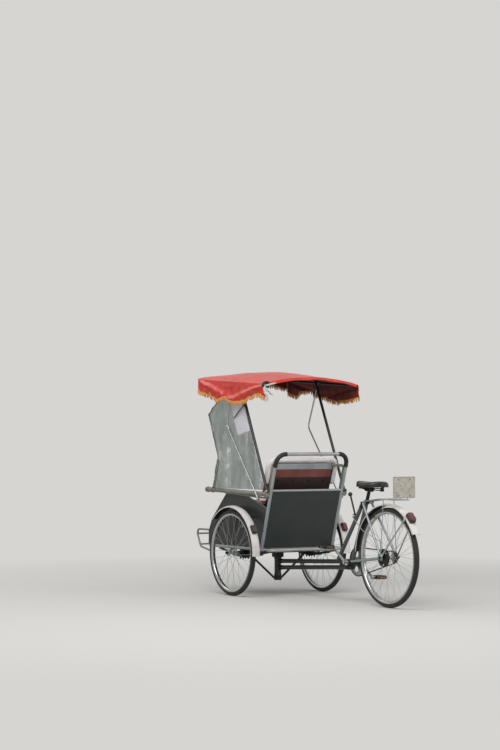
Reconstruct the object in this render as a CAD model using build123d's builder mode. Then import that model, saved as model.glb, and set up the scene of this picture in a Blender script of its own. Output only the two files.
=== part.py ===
import os
from math import cos, pi, radians, sin

from build123d import *

# Driving sizes in mm: X forward, Y left, Z up, origin on the ground under the middle of the box.
wheelbase = 1383
track = 760
bumper_reach = 737
rear_tyre_radius = 330
front_tyre_radius = 305
tyre_width = 36
seat_height = 600
steering_clearance = 1
running_clearance = 0.05
seat_gap = 0.3

overall_length = rear_tyre_radius + wheelbase + bumper_reach
rear_axle_x = rear_tyre_radius - overall_length / 2
front_axle_x = rear_axle_x + wheelbase

# Rear frame
rear_axle_z = rear_tyre_radius
crank_centre = Vector(rear_axle_x + 425, 0, 279)
seat_cluster = Vector(rear_axle_x + 252, 0, 690)
brace_top = Vector(rear_axle_x + 309, 0, 665)
brace_foot = Vector(rear_axle_x + 606, 0, 275)
saddle_z = 790
seat_tube_radius = 14
beam_radius = 15
shell_radius = 21
shell_length = 70
stay_radius = 8
cluster_half_width = 36
dropout_inside = 60
dropout_thickness = 6
head_tube_radius = 24
head_tube_bottom = front_tyre_radius - 173
head_tube_top = front_tyre_radius - 43
king_pin_radius = 13
axle_radius = 5

# Wheels
rim_depth = 17
rim_width = 30
rim_wall = 2.5
bead_width = rim_width - 2 * rim_wall
hub_radius = 14
flange_radius = 24
spoke_size = 2.4
rear_spoke_count = 36
front_spoke_count = 32
spindle_radius = 6

# Drive
chain_pitch = 12.7
chainring_teeth = 48
sprocket_teeth = 18
chain_line = 46
chain_height = 8
chain_clearance = 5
crank_length = 165
crank_angle = 37

# Carriage
half_width = track / 2 - 85
frame_z = front_tyre_radius + 30
frame_radius = 11
rear_bar_x = front_axle_x - 393
panel_foot_x = front_axle_x - 258
frame_front_x = front_axle_x + 490
leg_radius = 12
leg_lean = 0.31
panel_top = seat_height + 151
leg_top = panel_top + 255
leg_bend = 75
sheet = 3
side_y = half_width - sheet
rail_radius = 16
rail_y = half_width + leg_radius + rail_radius
floor_top = frame_z + frame_radius + 6
front_axle_tube_radius = 13

# Canopy
rib_half_width = half_width + 83
rib_radius = 8
roof_back_x = front_axle_x - 455
roof_front_x = front_axle_x + 472
roof_back_z = 1490
roof_front_z = 1548
cloth = 2.5


def add_rod(start, end, radius, mode=Mode.ADD):
    """Straight round bar from start to end."""
    run = Vector(*end) - Vector(*start)
    with BuildSketch(Plane(origin=start, z_dir=run)) as section:
        Circle(radius)
    extrude(section.sketch, amount=run.length, mode=mode)


def add_pipe(points, bend, radius, close=False, mode=Mode.ADD):
    """Round bar bent through the points with one bend radius."""
    with BuildLine() as run:
        FilletPolyline(*points, radius=bend, close=close)
    with BuildSketch(Plane(origin=run.line @ 0, z_dir=run.line % 0)) as section:
        Circle(radius)
    sweep(section.sketch, path=run.line, mode=mode)


def add_ring_of(profile_points, centre):
    """Solid of revolution about a wheel's axle, from (radius, offset along the axle) points."""
    with BuildSketch(Plane(origin=centre, x_dir=(1, 0, 0), z_dir=(0, 0, 1))) as section:
        with BuildLine():
            Polyline(*profile_points, close=True)
        make_face()
    revolve(section.sketch, axis=Axis(centre, (0, 1, 0)))


def leg_at(z):
    """X of the push bar's leaning legs at a height."""
    return panel_foot_x - leg_lean * (z - frame_z)


def roof_z(x):
    """Height of the canopy's side rails."""
    slope = (roof_front_z - roof_back_z) / (roof_front_x - roof_back_x)
    return roof_back_z + slope * (x - roof_back_x)


pieces = {}

# Steering head
head_tube_length = head_tube_top - head_tube_bottom
with BuildPart() as head_tube:
    with Locations((front_axle_x, 0, head_tube_bottom)):
        Cylinder(head_tube_radius, head_tube_length, align=(Align.CENTER, Align.CENTER, Align.MIN))
    for z in (head_tube_bottom, head_tube_top - 10):
        with Locations((front_axle_x, 0, z)):
            Cylinder(head_tube_radius + 4, 10, align=(Align.CENTER, Align.CENTER, Align.MIN))
    with Locations((front_axle_x, 0, head_tube_bottom + head_tube_length / 2)):
        Cylinder(king_pin_radius + running_clearance, head_tube_length, mode=Mode.SUBTRACT)
pieces["head_tube"] = head_tube

with BuildPart() as bottom_bracket:
    with Locations(Plane(origin=crank_centre, z_dir=(0, 1, 0))):
        Cylinder(shell_radius, shell_length)
        Cylinder(12, shell_length, mode=Mode.SUBTRACT)
pieces["bottom_bracket"] = bottom_bracket

with BuildPart() as seat_tube:
    add_rod(crank_centre, seat_cluster + Vector(-4, 0, 10), seat_tube_radius)
    with Locations(Plane(origin=crank_centre, z_dir=(0, 1, 0))):
        Cylinder(shell_radius, shell_length, mode=Mode.SUBTRACT)
pieces["seat_tube"] = seat_tube

# Two beams, one above the other, from the cranks to the steering head
with BuildPart() as twin_beams:
    add_rod(crank_centre + Vector(0, 0, 3), (front_axle_x, 0, head_tube_top - 28), beam_radius)
    add_rod(crank_centre + Vector(0, 0, -36), (front_axle_x, 0, head_tube_bottom + 56), beam_radius)
    with Locations(Plane(origin=crank_centre, z_dir=(0, 1, 0))):
        Cylinder(shell_radius, shell_length, mode=Mode.SUBTRACT)
    with Locations((front_axle_x, 0, head_tube_bottom + head_tube_length / 2)):
        Cylinder(head_tube_radius, head_tube_length, mode=Mode.SUBTRACT)
    add(seat_tube.part, mode=Mode.SUBTRACT)
pieces["twin_beams"] = twin_beams

with BuildPart() as brace_tube:
    add_rod(brace_top, brace_foot, seat_tube_radius)
    add(twin_beams.part, mode=Mode.SUBTRACT)
    add(seat_tube.part, mode=Mode.SUBTRACT)
pieces["brace_tube"] = brace_tube

with BuildPart() as rear_stays:
    for side in (-1, 1):
        hub_end = Vector(rear_axle_x, side * (dropout_inside + dropout_thickness / 2), rear_axle_z)
        add_rod(crank_centre + Vector(-8, side * 23, 4), hub_end + Vector(24, 0, -2), stay_radius)
        add_rod(
            seat_cluster + Vector(-3, side * cluster_half_width, -4), hub_end + Vector(12, 0, 22), stay_radius
        )
        with BuildSketch(Plane(origin=hub_end, x_dir=(1, 0, 0), z_dir=(0, 1, 0))) as plate:
            with BuildLine():
                Polyline((-16, -16), (-16, 16), (30, 14), (32, -10), (20, -34), (2, -30), close=True)
            make_face()
            Circle(axle_radius, mode=Mode.SUBTRACT)
        extrude(plate.sketch, amount=dropout_thickness / 2, both=True)
    add_rod(
        seat_cluster + Vector(-3, -cluster_half_width, -4),
        seat_cluster + Vector(-3, cluster_half_width, -4),
        stay_radius,
    )
    add(seat_tube.part, mode=Mode.SUBTRACT)
    with Locations(Plane(origin=crank_centre, z_dir=(0, 1, 0))):
        Cylinder(shell_radius, shell_length, mode=Mode.SUBTRACT)
pieces["rear_stays"] = rear_stays

with BuildPart() as rear_axle:
    axle_end = dropout_inside + dropout_thickness + 22
    with Locations(Plane(origin=(rear_axle_x, 0, rear_axle_z), z_dir=(0, 1, 0))):
        Cylinder(axle_radius, 2 * axle_end)
    for side in (-1, 1):
        face = side * (dropout_inside + dropout_thickness)
        with BuildSketch(Plane(origin=(rear_axle_x, face, rear_axle_z), z_dir=(0, side, 0))) as nut:
            RegularPolygon(9, 6)
        extrude(nut.sketch, amount=9)
pieces["rear_axle"] = rear_axle

# Rear wheel and front wheels


def add_wire_wheel(centre, tyre_radius, spoke_count, hub_left, hub_right, bore_radius):
    """Rim, crossed spokes and flanged hub of one wheel, joined as one solid."""
    rim_edge = tyre_radius - 27
    inner = rim_edge - rim_depth
    half = rim_width / 2
    add_ring_of(
        [
            (rim_edge, -half),
            (rim_edge - 11, -half),
            (inner, -half / 2),
            (inner, half / 2),
            (rim_edge - 11, half),
            (rim_edge, half),
            (rim_edge, bead_width / 2),
            (rim_edge - 6, bead_width / 2),
            (rim_edge - 6, -bead_width / 2),
            (rim_edge, -bead_width / 2),
        ],
        centre,
    )
    left = hub_left - 8
    right = 13 - hub_right
    add_ring_of(
        [
            (bore_radius, -hub_right),
            (hub_radius, -hub_right),
            (hub_radius, right - 4),
            (flange_radius, right - 2),
            (flange_radius, right + 1),
            (hub_radius, right + 5),
            (hub_radius, left - 5),
            (flange_radius, left - 1),
            (flange_radius, left + 2),
            (hub_radius, left + 4),
            (hub_radius, hub_left),
            (bore_radius, hub_left),
        ],
        centre,
    )
    spokes = []
    for index in range(spoke_count):
        side = 1 if index % 2 else -1
        lean = 1 if index % 4 < 2 else -1
        angle = 2 * pi * index / spoke_count
        swing = angle + lean * radians(62)
        foot_y = (left if side == 1 else right) + lean * spoke_size * 0.6
        foot = Vector(flange_radius * 0.86 * cos(swing), foot_y, flange_radius * 0.86 * sin(swing))
        head = Vector((inner + 2) * cos(angle), side * 3, (inner + 2) * sin(angle))
        with BuildSketch(Plane(origin=centre + foot, z_dir=head - foot)) as wire:
            Rectangle(spoke_size, spoke_size)
        spokes.append(extrude(wire.sketch, amount=(head - foot).length, mode=Mode.PRIVATE))
    add(spokes)


def add_tyre(centre, tyre_radius):
    """Round tyre seated on the rim's edges, its beads between the rim walls."""
    rim_edge = tyre_radius - 27
    half = tyre_width / 2
    with BuildSketch(Plane(origin=centre, x_dir=(1, 0, 0), z_dir=(0, 0, 1))) as section:
        with Locations((tyre_radius - half, 0)):
            RegularPolygon(half, 14)
        with Locations((rim_edge - 30, 0)):
            Rectangle(60, 2 * tyre_width, mode=Mode.SUBTRACT)
        with Locations((rim_edge - 6, 0)):
            Rectangle(8, bead_width, align=(Align.MIN, Align.CENTER))
    revolve(section.sketch, axis=Axis(centre, (0, 1, 0)))


# name, X and Y of the middle, tyre radius, spokes, hub's left and right ends, axle radius
wheels = [
    ("rear", rear_axle_x, 0, rear_tyre_radius, rear_spoke_count, 38, 48, axle_radius),
    ("front_left", front_axle_x, track / 2, front_tyre_radius, front_spoke_count, 40, 40, spindle_radius),
    ("front_right", front_axle_x, -track / 2, front_tyre_radius, front_spoke_count, 40, 40, spindle_radius),
]
for name, x, y, tyre_radius, spoke_count, hub_left, hub_right, pin_radius in wheels:
    centre = Vector(x, y, tyre_radius)
    bore_radius = pin_radius + running_clearance
    with BuildPart() as wheel:
        add_wire_wheel(centre, tyre_radius, spoke_count, hub_left, hub_right, bore_radius)
    pieces[f"{name}_wheel"] = wheel
    with BuildPart() as tyre:
        add_tyre(centre, tyre_radius)
    pieces[f"{name}_tyre"] = tyre

# Chain drive on the right side
ring_pitch_radius = chain_pitch / (2 * sin(pi / chainring_teeth))
sprocket_pitch_radius = chain_pitch / (2 * sin(pi / sprocket_teeth))
chain_inner_gap = chain_height / 2 + chain_clearance
chain_plane = Plane(origin=(rear_axle_x, -chain_line, rear_axle_z), x_dir=(1, 0, 0), z_dir=(0, -1, 0))
ring_offset = crank_centre - Vector(rear_axle_x, 0, rear_axle_z)

with BuildPart() as chain:
    with BuildSketch(chain_plane) as loop:
        for grow, mode in ((chain_height / 2, Mode.ADD), (-chain_height / 2, Mode.SUBTRACT)):
            with BuildSketch(mode=Mode.PRIVATE) as outline:
                Circle(sprocket_pitch_radius + grow)
                with Locations((ring_offset.X, ring_offset.Z)):
                    Circle(ring_pitch_radius + grow)
                make_hull()
            add(outline.sketch, mode=mode)
    extrude(loop.sketch, amount=2.5, both=True)
pieces["chain"] = chain

with BuildPart() as sprocket:
    with BuildSketch(chain_plane) as disc:
        Circle(sprocket_pitch_radius - chain_inner_gap)
        Circle(hub_radius, mode=Mode.SUBTRACT)
    extrude(disc.sketch, amount=1.5, both=True)
pieces["rear_sprocket"] = sprocket

with BuildPart() as crankset:
    crank_plane = Plane(origin=crank_centre, x_dir=(1, 0, 0), z_dir=(0, -1, 0))
    with Locations(Plane(origin=crank_centre, z_dir=(0, 1, 0))):
        Cylinder(12 - running_clearance, 150)
    with BuildSketch(crank_plane.offset(chain_line)) as ring:
        Circle(ring_pitch_radius - chain_inner_gap)
        with PolarLocations(54, 5):
            Circle(20, mode=Mode.SUBTRACT)
    extrude(ring.sketch, amount=1.5, both=True)
    for side in (-1, 1):
        lean = Vector(cos(radians(crank_angle)), 0, sin(radians(crank_angle))) * side
        start = crank_centre + Vector(0, side * 62, 0)
        end = start + lean * crank_length + Vector(0, side * 10, 0)
        add_rod(start, end, 9)
        with Locations(Plane(origin=start, z_dir=(0, 1, 0)), Plane(origin=end, z_dir=(0, 1, 0))):
            Cylinder(13, 16)
        add_rod(end, end + Vector(0, side * 96, 0), 5)
pieces["crankset"] = crankset

with BuildPart() as pedals:
    for side in (-1, 1):
        lean = Vector(cos(radians(crank_angle)), 0, sin(radians(crank_angle))) * side
        middle = crank_centre + lean * crank_length + Vector(0, side * (72 + 52), 0)
        with Locations(middle):
            Box(84, 76, 26)
            with Locations(Plane(origin=(0, 0, 0), z_dir=(0, 1, 0))):
                Cylinder(5, 76, mode=Mode.SUBTRACT)
pieces["pedals"] = pedals

# Band brake cover on the wheel's left
brake_radius = 59
with BuildPart() as brake_cover:
    with Locations(Plane(origin=(rear_axle_x, dropout_inside - 19, rear_axle_z), z_dir=(0, 1, 0))):
        Cylinder(brake_radius, 14)
        Cylinder(brake_radius - 5, 14, mode=Mode.SUBTRACT)
    with Locations(Plane(origin=(rear_axle_x, dropout_inside - 14, rear_axle_z), z_dir=(0, 1, 0))):
        Cylinder(brake_radius - 4, 4)
        Cylinder(axle_radius, 4, mode=Mode.SUBTRACT)
pieces["brake_cover"] = brake_cover


# Mudguards


def add_guard(centre, outer, start, end, width, skirt):
    """Curved guard with a crowned top and turned-down edges, over an arc in degrees."""
    half = width / 2
    first = Vector(outer * cos(radians(start)), 0, outer * sin(radians(start)))
    section_plane = Plane(
        origin=centre,
        x_dir=(first.X / outer, 0, first.Z / outer),
        z_dir=(first.Z / outer, 0, -first.X / outer),
    )
    with BuildSketch(section_plane) as section:
        with BuildLine():
            Line((outer - skirt, -half), (outer - skirt + 8, -half))
            ThreePointArc((outer - skirt + 8, -half), (outer, 0), (outer - skirt + 8, half))
            Line((outer - skirt + 8, half), (outer - skirt, half))
            Line((outer - skirt, half), (outer - skirt, half - 2.5))
            ThreePointArc((outer - skirt, half - 2.5), (outer - 3, 0), (outer - skirt, 2.5 - half))
            Line((outer - skirt, 2.5 - half), (outer - skirt, -half))
        make_face()
    revolve(section.sketch, axis=Axis(centre, (0, -1, 0)), revolution_arc=end - start)


rear_centre = Vector(rear_axle_x, 0, rear_axle_z)
guard_outer = rear_tyre_radius + 27
with BuildPart() as rear_mudguard:
    add_guard(rear_centre, guard_outer, 4, 152, 56, 13)
pieces["rear_mudguard"] = rear_mudguard

# Stays, rack and plate behind the saddle
rack_z = 714
rack_half = 42
rack_end_x = rear_axle_x - 171
hub_side = dropout_inside + dropout_thickness / 2

with BuildPart() as rear_rack:
    for side in (-1, 1):
        rack_start = seat_cluster + Vector(-3, side * 30, 4)
        rack_knee = Vector(rear_axle_x + 60, side * rack_half, rack_z)
        rack_end = Vector(rack_end_x + 1, side * rack_half, rack_z)
        add_pipe([rack_start, rack_knee, rack_end], 40, 4)
        add_rod((rack_end_x, side * 28, rack_z), (rack_end_x, side * 28, rack_z + 60), 3)
        stay_foot = (rear_axle_x + 3, side * hub_side, rear_axle_z + 14)
        add_rod((rear_axle_x, side * rack_half, rack_z), stay_foot, 2.8)
    for x in (rear_axle_x + 60, rear_axle_x - 55, rack_end_x):
        add_rod((x, -rack_half - 3, rack_z), (x, rack_half + 3, rack_z), 3.5)
    add(rear_stays.part, mode=Mode.SUBTRACT)
    add(seat_tube.part, mode=Mode.SUBTRACT)
pieces["rear_rack"] = rear_rack

with BuildPart() as guard_stays:
    stay_angle = radians(131)
    for side in (-1, 1):
        guard_point = rear_centre + Vector(
            (guard_outer - 9) * cos(stay_angle), side * 28.6, (guard_outer - 9) * sin(stay_angle)
        )
        add_rod((rear_axle_x - 8, side * hub_side, rear_axle_z + 10), guard_point, 2.8)
    add(rear_stays.part, mode=Mode.SUBTRACT)
    add(rear_mudguard.part, mode=Mode.SUBTRACT)
pieces["guard_stays"] = guard_stays

with BuildPart() as number_plate:
    with Locations((rack_end_x - 4, 0, rack_z + 82)):
        Box(2, 176, 140)
pieces["number_plate"] = number_plate


def guard_plane(centre, radius, angle):
    """Plane on a mudguard's crown, facing outwards at an angle above the front."""
    outward = Vector(cos(radians(angle)), 0, sin(radians(angle)))
    return Plane(origin=centre + outward * radius, x_dir=(0, 1, 0), z_dir=outward)


with BuildPart() as rear_reflector:
    with Locations(guard_plane(rear_centre, guard_outer - 2.8, 133)):
        Box(44, 76, 20, align=(Align.CENTER, Align.CENTER, Align.MIN))
        with Locations((0, 0, 20)):
            Box(40, 68, 18, align=(Align.CENTER, Align.CENTER, Align.MIN))
    add(rear_mudguard.part, mode=Mode.SUBTRACT)
pieces["rear_reflector"] = rear_reflector

# Saddle
post_top = Vector(rear_axle_x + 222, 0, saddle_z - 18)
with BuildPart() as seat_post:
    add_rod(seat_cluster + Vector(-4, 0, 10), post_top, 12)
    add_rod(post_top + Vector(0, -30, 4), post_top + Vector(0, 30, 4), 12)
    for side in (-1, 1):
        rail_end = (rear_axle_x + 318, side * 12, saddle_z - 6)
        add_rod((rear_axle_x + 128, side * 42, saddle_z - 10), rail_end, 4)
        with Locations((rear_axle_x + 134, side * 42, saddle_z - 28)):
            Cylinder(15, 28, align=(Align.CENTER, Align.CENTER, Align.MIN))
    with Locations((rear_axle_x + 318, 0, saddle_z - 12)):
        Cylinder(16, 12, align=(Align.CENTER, Align.CENTER, Align.MIN))
    add(seat_tube.part, mode=Mode.SUBTRACT)
pieces["seat_post"] = seat_post

with BuildPart() as saddle:
    with BuildSketch(Plane.XY.offset(saddle_z + seat_gap)) as outline:
        with Locations((rear_axle_x + 168, 0)):
            Circle(98)
        with Locations((rear_axle_x + 330, 0)):
            Circle(27)
        make_hull()
    extrude(outline.sketch, amount=44, taper=8)
    fillet(saddle.faces().sort_by(Axis.Z)[-1].edges(), 12)
pieces["saddle"] = saddle

with BuildPart() as brake_lever:
    lever_foot = brace_top + (brace_foot - brace_top) * 0.24
    add_rod(lever_foot, lever_foot + Vector(70, 0, 165), 6)
    with Locations(lever_foot + Vector(70, 0, 165)):
        Sphere(15)
    with Locations(Plane(origin=lever_foot + Vector(8, 0, 18), z_dir=(0, 1, 0))):
        Cylinder(16, 30)
    add(brace_tube.part, mode=Mode.SUBTRACT)
pieces["brake_lever"] = brake_lever

# Front axle, its pin and braces
with BuildPart() as front_axle:
    hub_inside = track / 2 - 40
    with Locations(Plane(origin=(front_axle_x, 0, front_tyre_radius), z_dir=(0, 1, 0))):
        Cylinder(front_axle_tube_radius, 2 * (hub_inside - 2))
        Cylinder(spindle_radius, track + 2 * 56)
    for side in (-1, 1):
        nut_plane = Plane(
            origin=(front_axle_x, side * (track / 2 + 42), front_tyre_radius), z_dir=(0, side, 0)
        )
        with BuildSketch(nut_plane) as nut:
            RegularPolygon(10, 6)
        extrude(nut.sketch, amount=9)
pieces["front_axle"] = front_axle

with BuildPart() as king_pin:
    with Locations((front_axle_x, 0, head_tube_bottom - 34)):
        Cylinder(king_pin_radius, 200, align=(Align.CENTER, Align.CENTER, Align.MIN))
        Cylinder(26, 34 - steering_clearance, align=(Align.CENTER, Align.CENTER, Align.MIN))
    with Locations((front_axle_x, 0, head_tube_top + steering_clearance)):
        Box(64, 60, 34, align=(Align.CENTER, Align.CENTER, Align.MIN))
    add(front_axle.part, mode=Mode.SUBTRACT)
pieces["king_pin"] = king_pin

with BuildPart() as axle_braces:
    for side in (-1, 1):
        brace_foot_z = head_tube_bottom - 26
        brace_end = (front_axle_x, side * (half_width - 47), front_tyre_radius - 5)
        add_rod(brace_end, (front_axle_x, side * 20, brace_foot_z), 8)
    add(king_pin.part, mode=Mode.SUBTRACT)
    add(front_axle.part, mode=Mode.SUBTRACT)
pieces["axle_braces"] = axle_braces

# Body frame: a tube loop with cross bars
with BuildPart() as body_frame:
    add_pipe(
        [
            (rear_bar_x, -half_width, frame_z),
            (frame_front_x, -half_width, frame_z),
            (frame_front_x, half_width, frame_z),
            (rear_bar_x, half_width, frame_z),
        ],
        40,
        frame_radius,
        close=True,
    )
    for x in (panel_foot_x, front_axle_x + 90, front_axle_x + 330):
        add_rod((x, -half_width, frame_z), (x, half_width, frame_z), frame_radius - 1)
pieces["body_frame"] = body_frame

# Leaf springs under the side tubes
spring_span = 330
spring_rise = frame_z - frame_radius - (front_tyre_radius - front_axle_tube_radius)
spring_radius = (spring_span**2 + spring_rise**2) / (2 * spring_rise)
leaf = 7
with BuildPart() as leaf_springs:
    spring_bottom = front_tyre_radius - front_axle_tube_radius
    for side in (-1, 1):
        spring_middle = (front_axle_x, side * (half_width - 15), spring_bottom)
        spring_plane = Plane(origin=spring_middle, x_dir=(1, 0, 0), z_dir=(0, -1, 0))
        with BuildSketch(spring_plane) as leaves:
            for span, depth in ((spring_span, 0), (230, leaf), (130, 2 * leaf)):
                with BuildSketch(mode=Mode.PRIVATE) as band:
                    with Locations((0, spring_radius)):
                        Circle(spring_radius + depth + leaf)
                        Circle(spring_radius + depth, mode=Mode.SUBTRACT)
                    Rectangle(2 * span, 120, mode=Mode.INTERSECT)
                add(band.sketch)
        extrude(leaves.sketch, amount=18, both=True)
        with Locations(spring_middle):
            Box(44, 36, 12)
    add(front_axle.part, mode=Mode.SUBTRACT)
    add(body_frame.part, mode=Mode.SUBTRACT)
pieces["leaf_springs"] = leaf_springs

# Push bar: two leaning legs joined by the bar that the rider steers with
with BuildPart() as push_bar:
    add_pipe(
        [
            (panel_foot_x, -half_width, frame_z),
            (leg_at(leg_top), -half_width, leg_top),
            (leg_at(leg_top), half_width, leg_top),
            (panel_foot_x, half_width, frame_z),
        ],
        leg_bend,
        leg_radius,
    )
    add(body_frame.part, mode=Mode.SUBTRACT)
pieces["push_bar"] = push_bar

with BuildPart() as grips:
    for side in (-1, 1):
        grip_foot = leg_top - 90
        add_pipe(
            [
                (leg_at(grip_foot), side * half_width, grip_foot),
                (leg_at(leg_top), side * half_width, leg_top),
                (leg_at(leg_top), side * (half_width - leg_bend - 2), leg_top),
            ],
            leg_bend,
            leg_radius + 4,
        )
    add(push_bar.part, mode=Mode.SUBTRACT)
pieces["grips"] = grips

# Floor boards on the frame: under the seat, and the footboard in front of the apron
apron_x = front_axle_x + 78
board = floor_top - frame_z - frame_radius
floor_half_width = side_y - 7
# name, rear and front edge
boards = [
    ("luggage_floor", panel_foot_x - 12, apron_x),
    ("footboard", apron_x, frame_front_x),
]
for name, back_edge, front_edge in boards:
    with BuildPart() as floor_board:
        with Locations(((back_edge + front_edge) / 2, 0, frame_z + frame_radius + board / 2)):
            Box(front_edge - back_edge, 2 * floor_half_width, board)
        add(push_bar.part, mode=Mode.SUBTRACT)
    pieces[name] = floor_board

lean_length = (1 + leg_lean**2) ** 0.5
panel_plane = Plane(origin=(leg_at(floor_top), 0, floor_top), x_dir=(0, 1, 0), z_dir=(1, 0, leg_lean))
edge_x = leg_at(panel_top)
with BuildPart() as panel_edge:
    add_rod((edge_x, -half_width, panel_top), (edge_x, half_width, panel_top), 8)
    add(push_bar.part, mode=Mode.SUBTRACT)
pieces["panel_edge"] = panel_edge

with BuildPart() as rear_panel:
    with BuildSketch(panel_plane) as face:
        panel_height = (panel_top - floor_top) * lean_length
        Rectangle(2 * half_width, panel_height, align=(Align.CENTER, Align.MIN))
    extrude(face.sketch, amount=sheet / 2, both=True)
    with Locations((leg_at(floor_top), 0, floor_top)):
        Box(20, 2 * half_width, 10, align=(Align.CENTER, Align.CENTER, Align.MAX), mode=Mode.SUBTRACT)
    add(push_bar.part, mode=Mode.SUBTRACT)
    add(panel_edge.part, mode=Mode.SUBTRACT)
pieces["rear_panel"] = rear_panel

# Side panels with a rolled edge, which stand on the frame's side tubes
side_top = seat_height + 127
side_low = seat_height + 22
edge_points = [
    (leg_at(side_low), side_low),
    (front_axle_x + 22, side_top),
    (front_axle_x + 217, side_top),
    (front_axle_x + 430, seat_height - 70),
    (frame_front_x - 10, floor_top + 88),
    (frame_front_x - 10, frame_z),
]
with BuildPart() as side_edges:
    for side in (-1, 1):
        add_pipe([(x, side * side_y, z) for x, z in edge_points], 30, 6)
    add(push_bar.part, mode=Mode.SUBTRACT)
    with Locations((frame_front_x, 0, frame_z)):
        Box(80, 2 * half_width + 60, 14, align=(Align.CENTER, Align.CENTER, Align.MAX), mode=Mode.SUBTRACT)
    add(body_frame.part, mode=Mode.SUBTRACT)
pieces["side_edges"] = side_edges

with BuildPart() as side_panels:
    for side in (-1, 1):
        side_plane = Plane(origin=(0, side * side_y, 0), x_dir=(1, 0, 0), z_dir=(0, -1, 0))
        with BuildSketch(side_plane) as face:
            with BuildLine():
                FilletPolyline(*edge_points, radius=30)
                Polyline(edge_points[-1], (leg_at(frame_z), frame_z), edge_points[0])
            make_face()
        extrude(face.sketch, amount=sheet / 2, both=True)
    add(push_bar.part, mode=Mode.SUBTRACT)
    add(side_edges.part, mode=Mode.SUBTRACT)
    add(body_frame.part, mode=Mode.SUBTRACT)
pieces["side_panels"] = side_panels

# Seat
deck = 10
with BuildPart() as seat_box:
    deck_back = leg_at(seat_height) + 8
    with Locations(((deck_back + apron_x) / 2, 0, seat_height)):
        Box(
            apron_x - deck_back,
            2 * (side_y - sheet / 2),
            deck,
            align=(Align.CENTER, Align.CENTER, Align.MAX),
        )
    with Locations((apron_x, 0, floor_top)):
        Box(
            sheet,
            2 * (side_y - sheet / 2),
            seat_height - floor_top,
            align=(Align.MAX, Align.CENTER, Align.MIN),
        )
    add(push_bar.part, mode=Mode.SUBTRACT)
pieces["seat_box"] = seat_box

back_lean = 0.362
back_foot_x = front_axle_x - 218
roll_radius = 21
roll_y = half_width - 20
roll_z = seat_height + 365
back_plane = Plane(
    origin=(back_foot_x, 0, seat_height), x_dir=(0, 1, 0), z_dir=(1, 0, back_lean)
)
back_scale = (1 + back_lean**2) ** 0.5
roll_up = (roll_z - seat_height) * back_scale
roll_low = 190 * back_scale
roll_bend = 50
inner_half = roll_y - roll_radius - seat_gap
inner_top = roll_up - roll_radius - seat_gap
inner_bend = roll_bend - roll_radius + 2

with BuildPart() as backrest_board:
    with BuildSketch(back_plane) as face:
        Rectangle(2 * inner_half, inner_top, align=(Align.CENTER, Align.MIN))
        fillet(face.vertices().group_by(Axis.Y)[-1], inner_bend)
    extrude(face.sketch, amount=-10)
    with Locations((back_foot_x, 0, seat_height)):
        Box(60, 2 * half_width, 10, align=(Align.CENTER, Align.CENTER, Align.MAX), mode=Mode.SUBTRACT)
pieces["backrest_board"] = backrest_board

with BuildPart() as backrest_roll:
    points = [(-roll_y, roll_low), (-roll_y, roll_up), (roll_y, roll_up), (roll_y, roll_low)]
    add_pipe([back_plane.from_local_coords((y, up, 8)) for y, up in points], roll_bend, roll_radius)
pieces["backrest_roll"] = backrest_roll

cushion_depth = 78
with BuildPart() as backrest_cushion:
    low = cushion_depth * back_scale + 12
    with BuildSketch(back_plane.offset(seat_gap)) as face:
        with Locations((0, low)):
            Rectangle(2 * inner_half, inner_top - low, align=(Align.CENTER, Align.MIN))
        fillet(face.vertices().group_by(Axis.Y)[-1], inner_bend)
        with Locations((0, low)):
            Rectangle(2 * (roll_y + 5), roll_low - low - seat_gap, align=(Align.CENTER, Align.MIN))
    extrude(face.sketch, amount=62)
    fillet(backrest_cushion.faces().sort_by(Axis((0, 0, 0), (1, 0, back_lean)))[-1].edges(), 16)
pieces["backrest_cushion"] = backrest_cushion

with BuildPart() as seat_cushion:
    cushion_back = back_foot_x + seat_gap
    cushion_front = apron_x + 20
    with Locations(((cushion_back + cushion_front) / 2, 0, seat_height + seat_gap)):
        Box(
            cushion_front - cushion_back,
            2 * (side_y - 8),
            cushion_depth,
            align=(Align.CENTER, Align.CENTER, Align.MIN),
        )
    fillet(seat_cushion.faces().sort_by(Axis.Z)[-1].edges(), 18)
pieces["seat_cushion"] = seat_cushion

post_radius = 10
post_gap = (leg_radius + post_radius) * lean_length
post_foot = panel_top - 6
post_rise = 325
post_top_z = seat_height + post_rise
with BuildPart() as back_posts:
    for side in (-1, 1):
        post_y = side * half_width
        add_pipe(
            [
                (leg_at(post_foot) + post_gap, post_y, post_foot),
                (leg_at(post_top_z) + post_gap, post_y, post_top_z),
                (back_foot_x - back_lean * post_rise - 16, side * (half_width - 55), post_top_z),
            ],
            18,
            post_radius,
        )
    add(backrest_board.part, mode=Mode.SUBTRACT)
pieces["back_posts"] = back_posts

# Arm rails
rail_z = seat_height + 127
with BuildPart() as arm_rails:
    for side in (-1, 1):
        back = Vector(leg_at(rail_z) - 6, side * rail_y, rail_z)
        front = Vector(front_axle_x + 462, side * rail_y, rail_z + 18)
        add_rod(back, front, rail_radius)
        lower_end = (front_axle_x + 217, side * (rail_y - 9), side_top)
        add_rod(back + Vector(20, -side * 7, -28), lower_end, 7)
        for x in (front_axle_x + 60, front_axle_x + 200):
            add_rod((x, side * rail_y, rail_z + 13), (x, side * side_y, side_top), 7)
        for part_way in (0.02, 0.9, 0.98):
            spot = back + (front - back) * part_way
            with Locations(Plane(origin=spot, z_dir=front - back)):
                Cylinder(rail_radius + 4, 24)
    add(push_bar.part, mode=Mode.SUBTRACT)
    add(back_posts.part, mode=Mode.SUBTRACT)
    add(side_edges.part, mode=Mode.SUBTRACT)
    add(side_panels.part, mode=Mode.SUBTRACT)
pieces["arm_rails"] = arm_rails

# Canopy ribs and side rails
bow_top_x = front_axle_x - 2
bow_crown = 64
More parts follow.
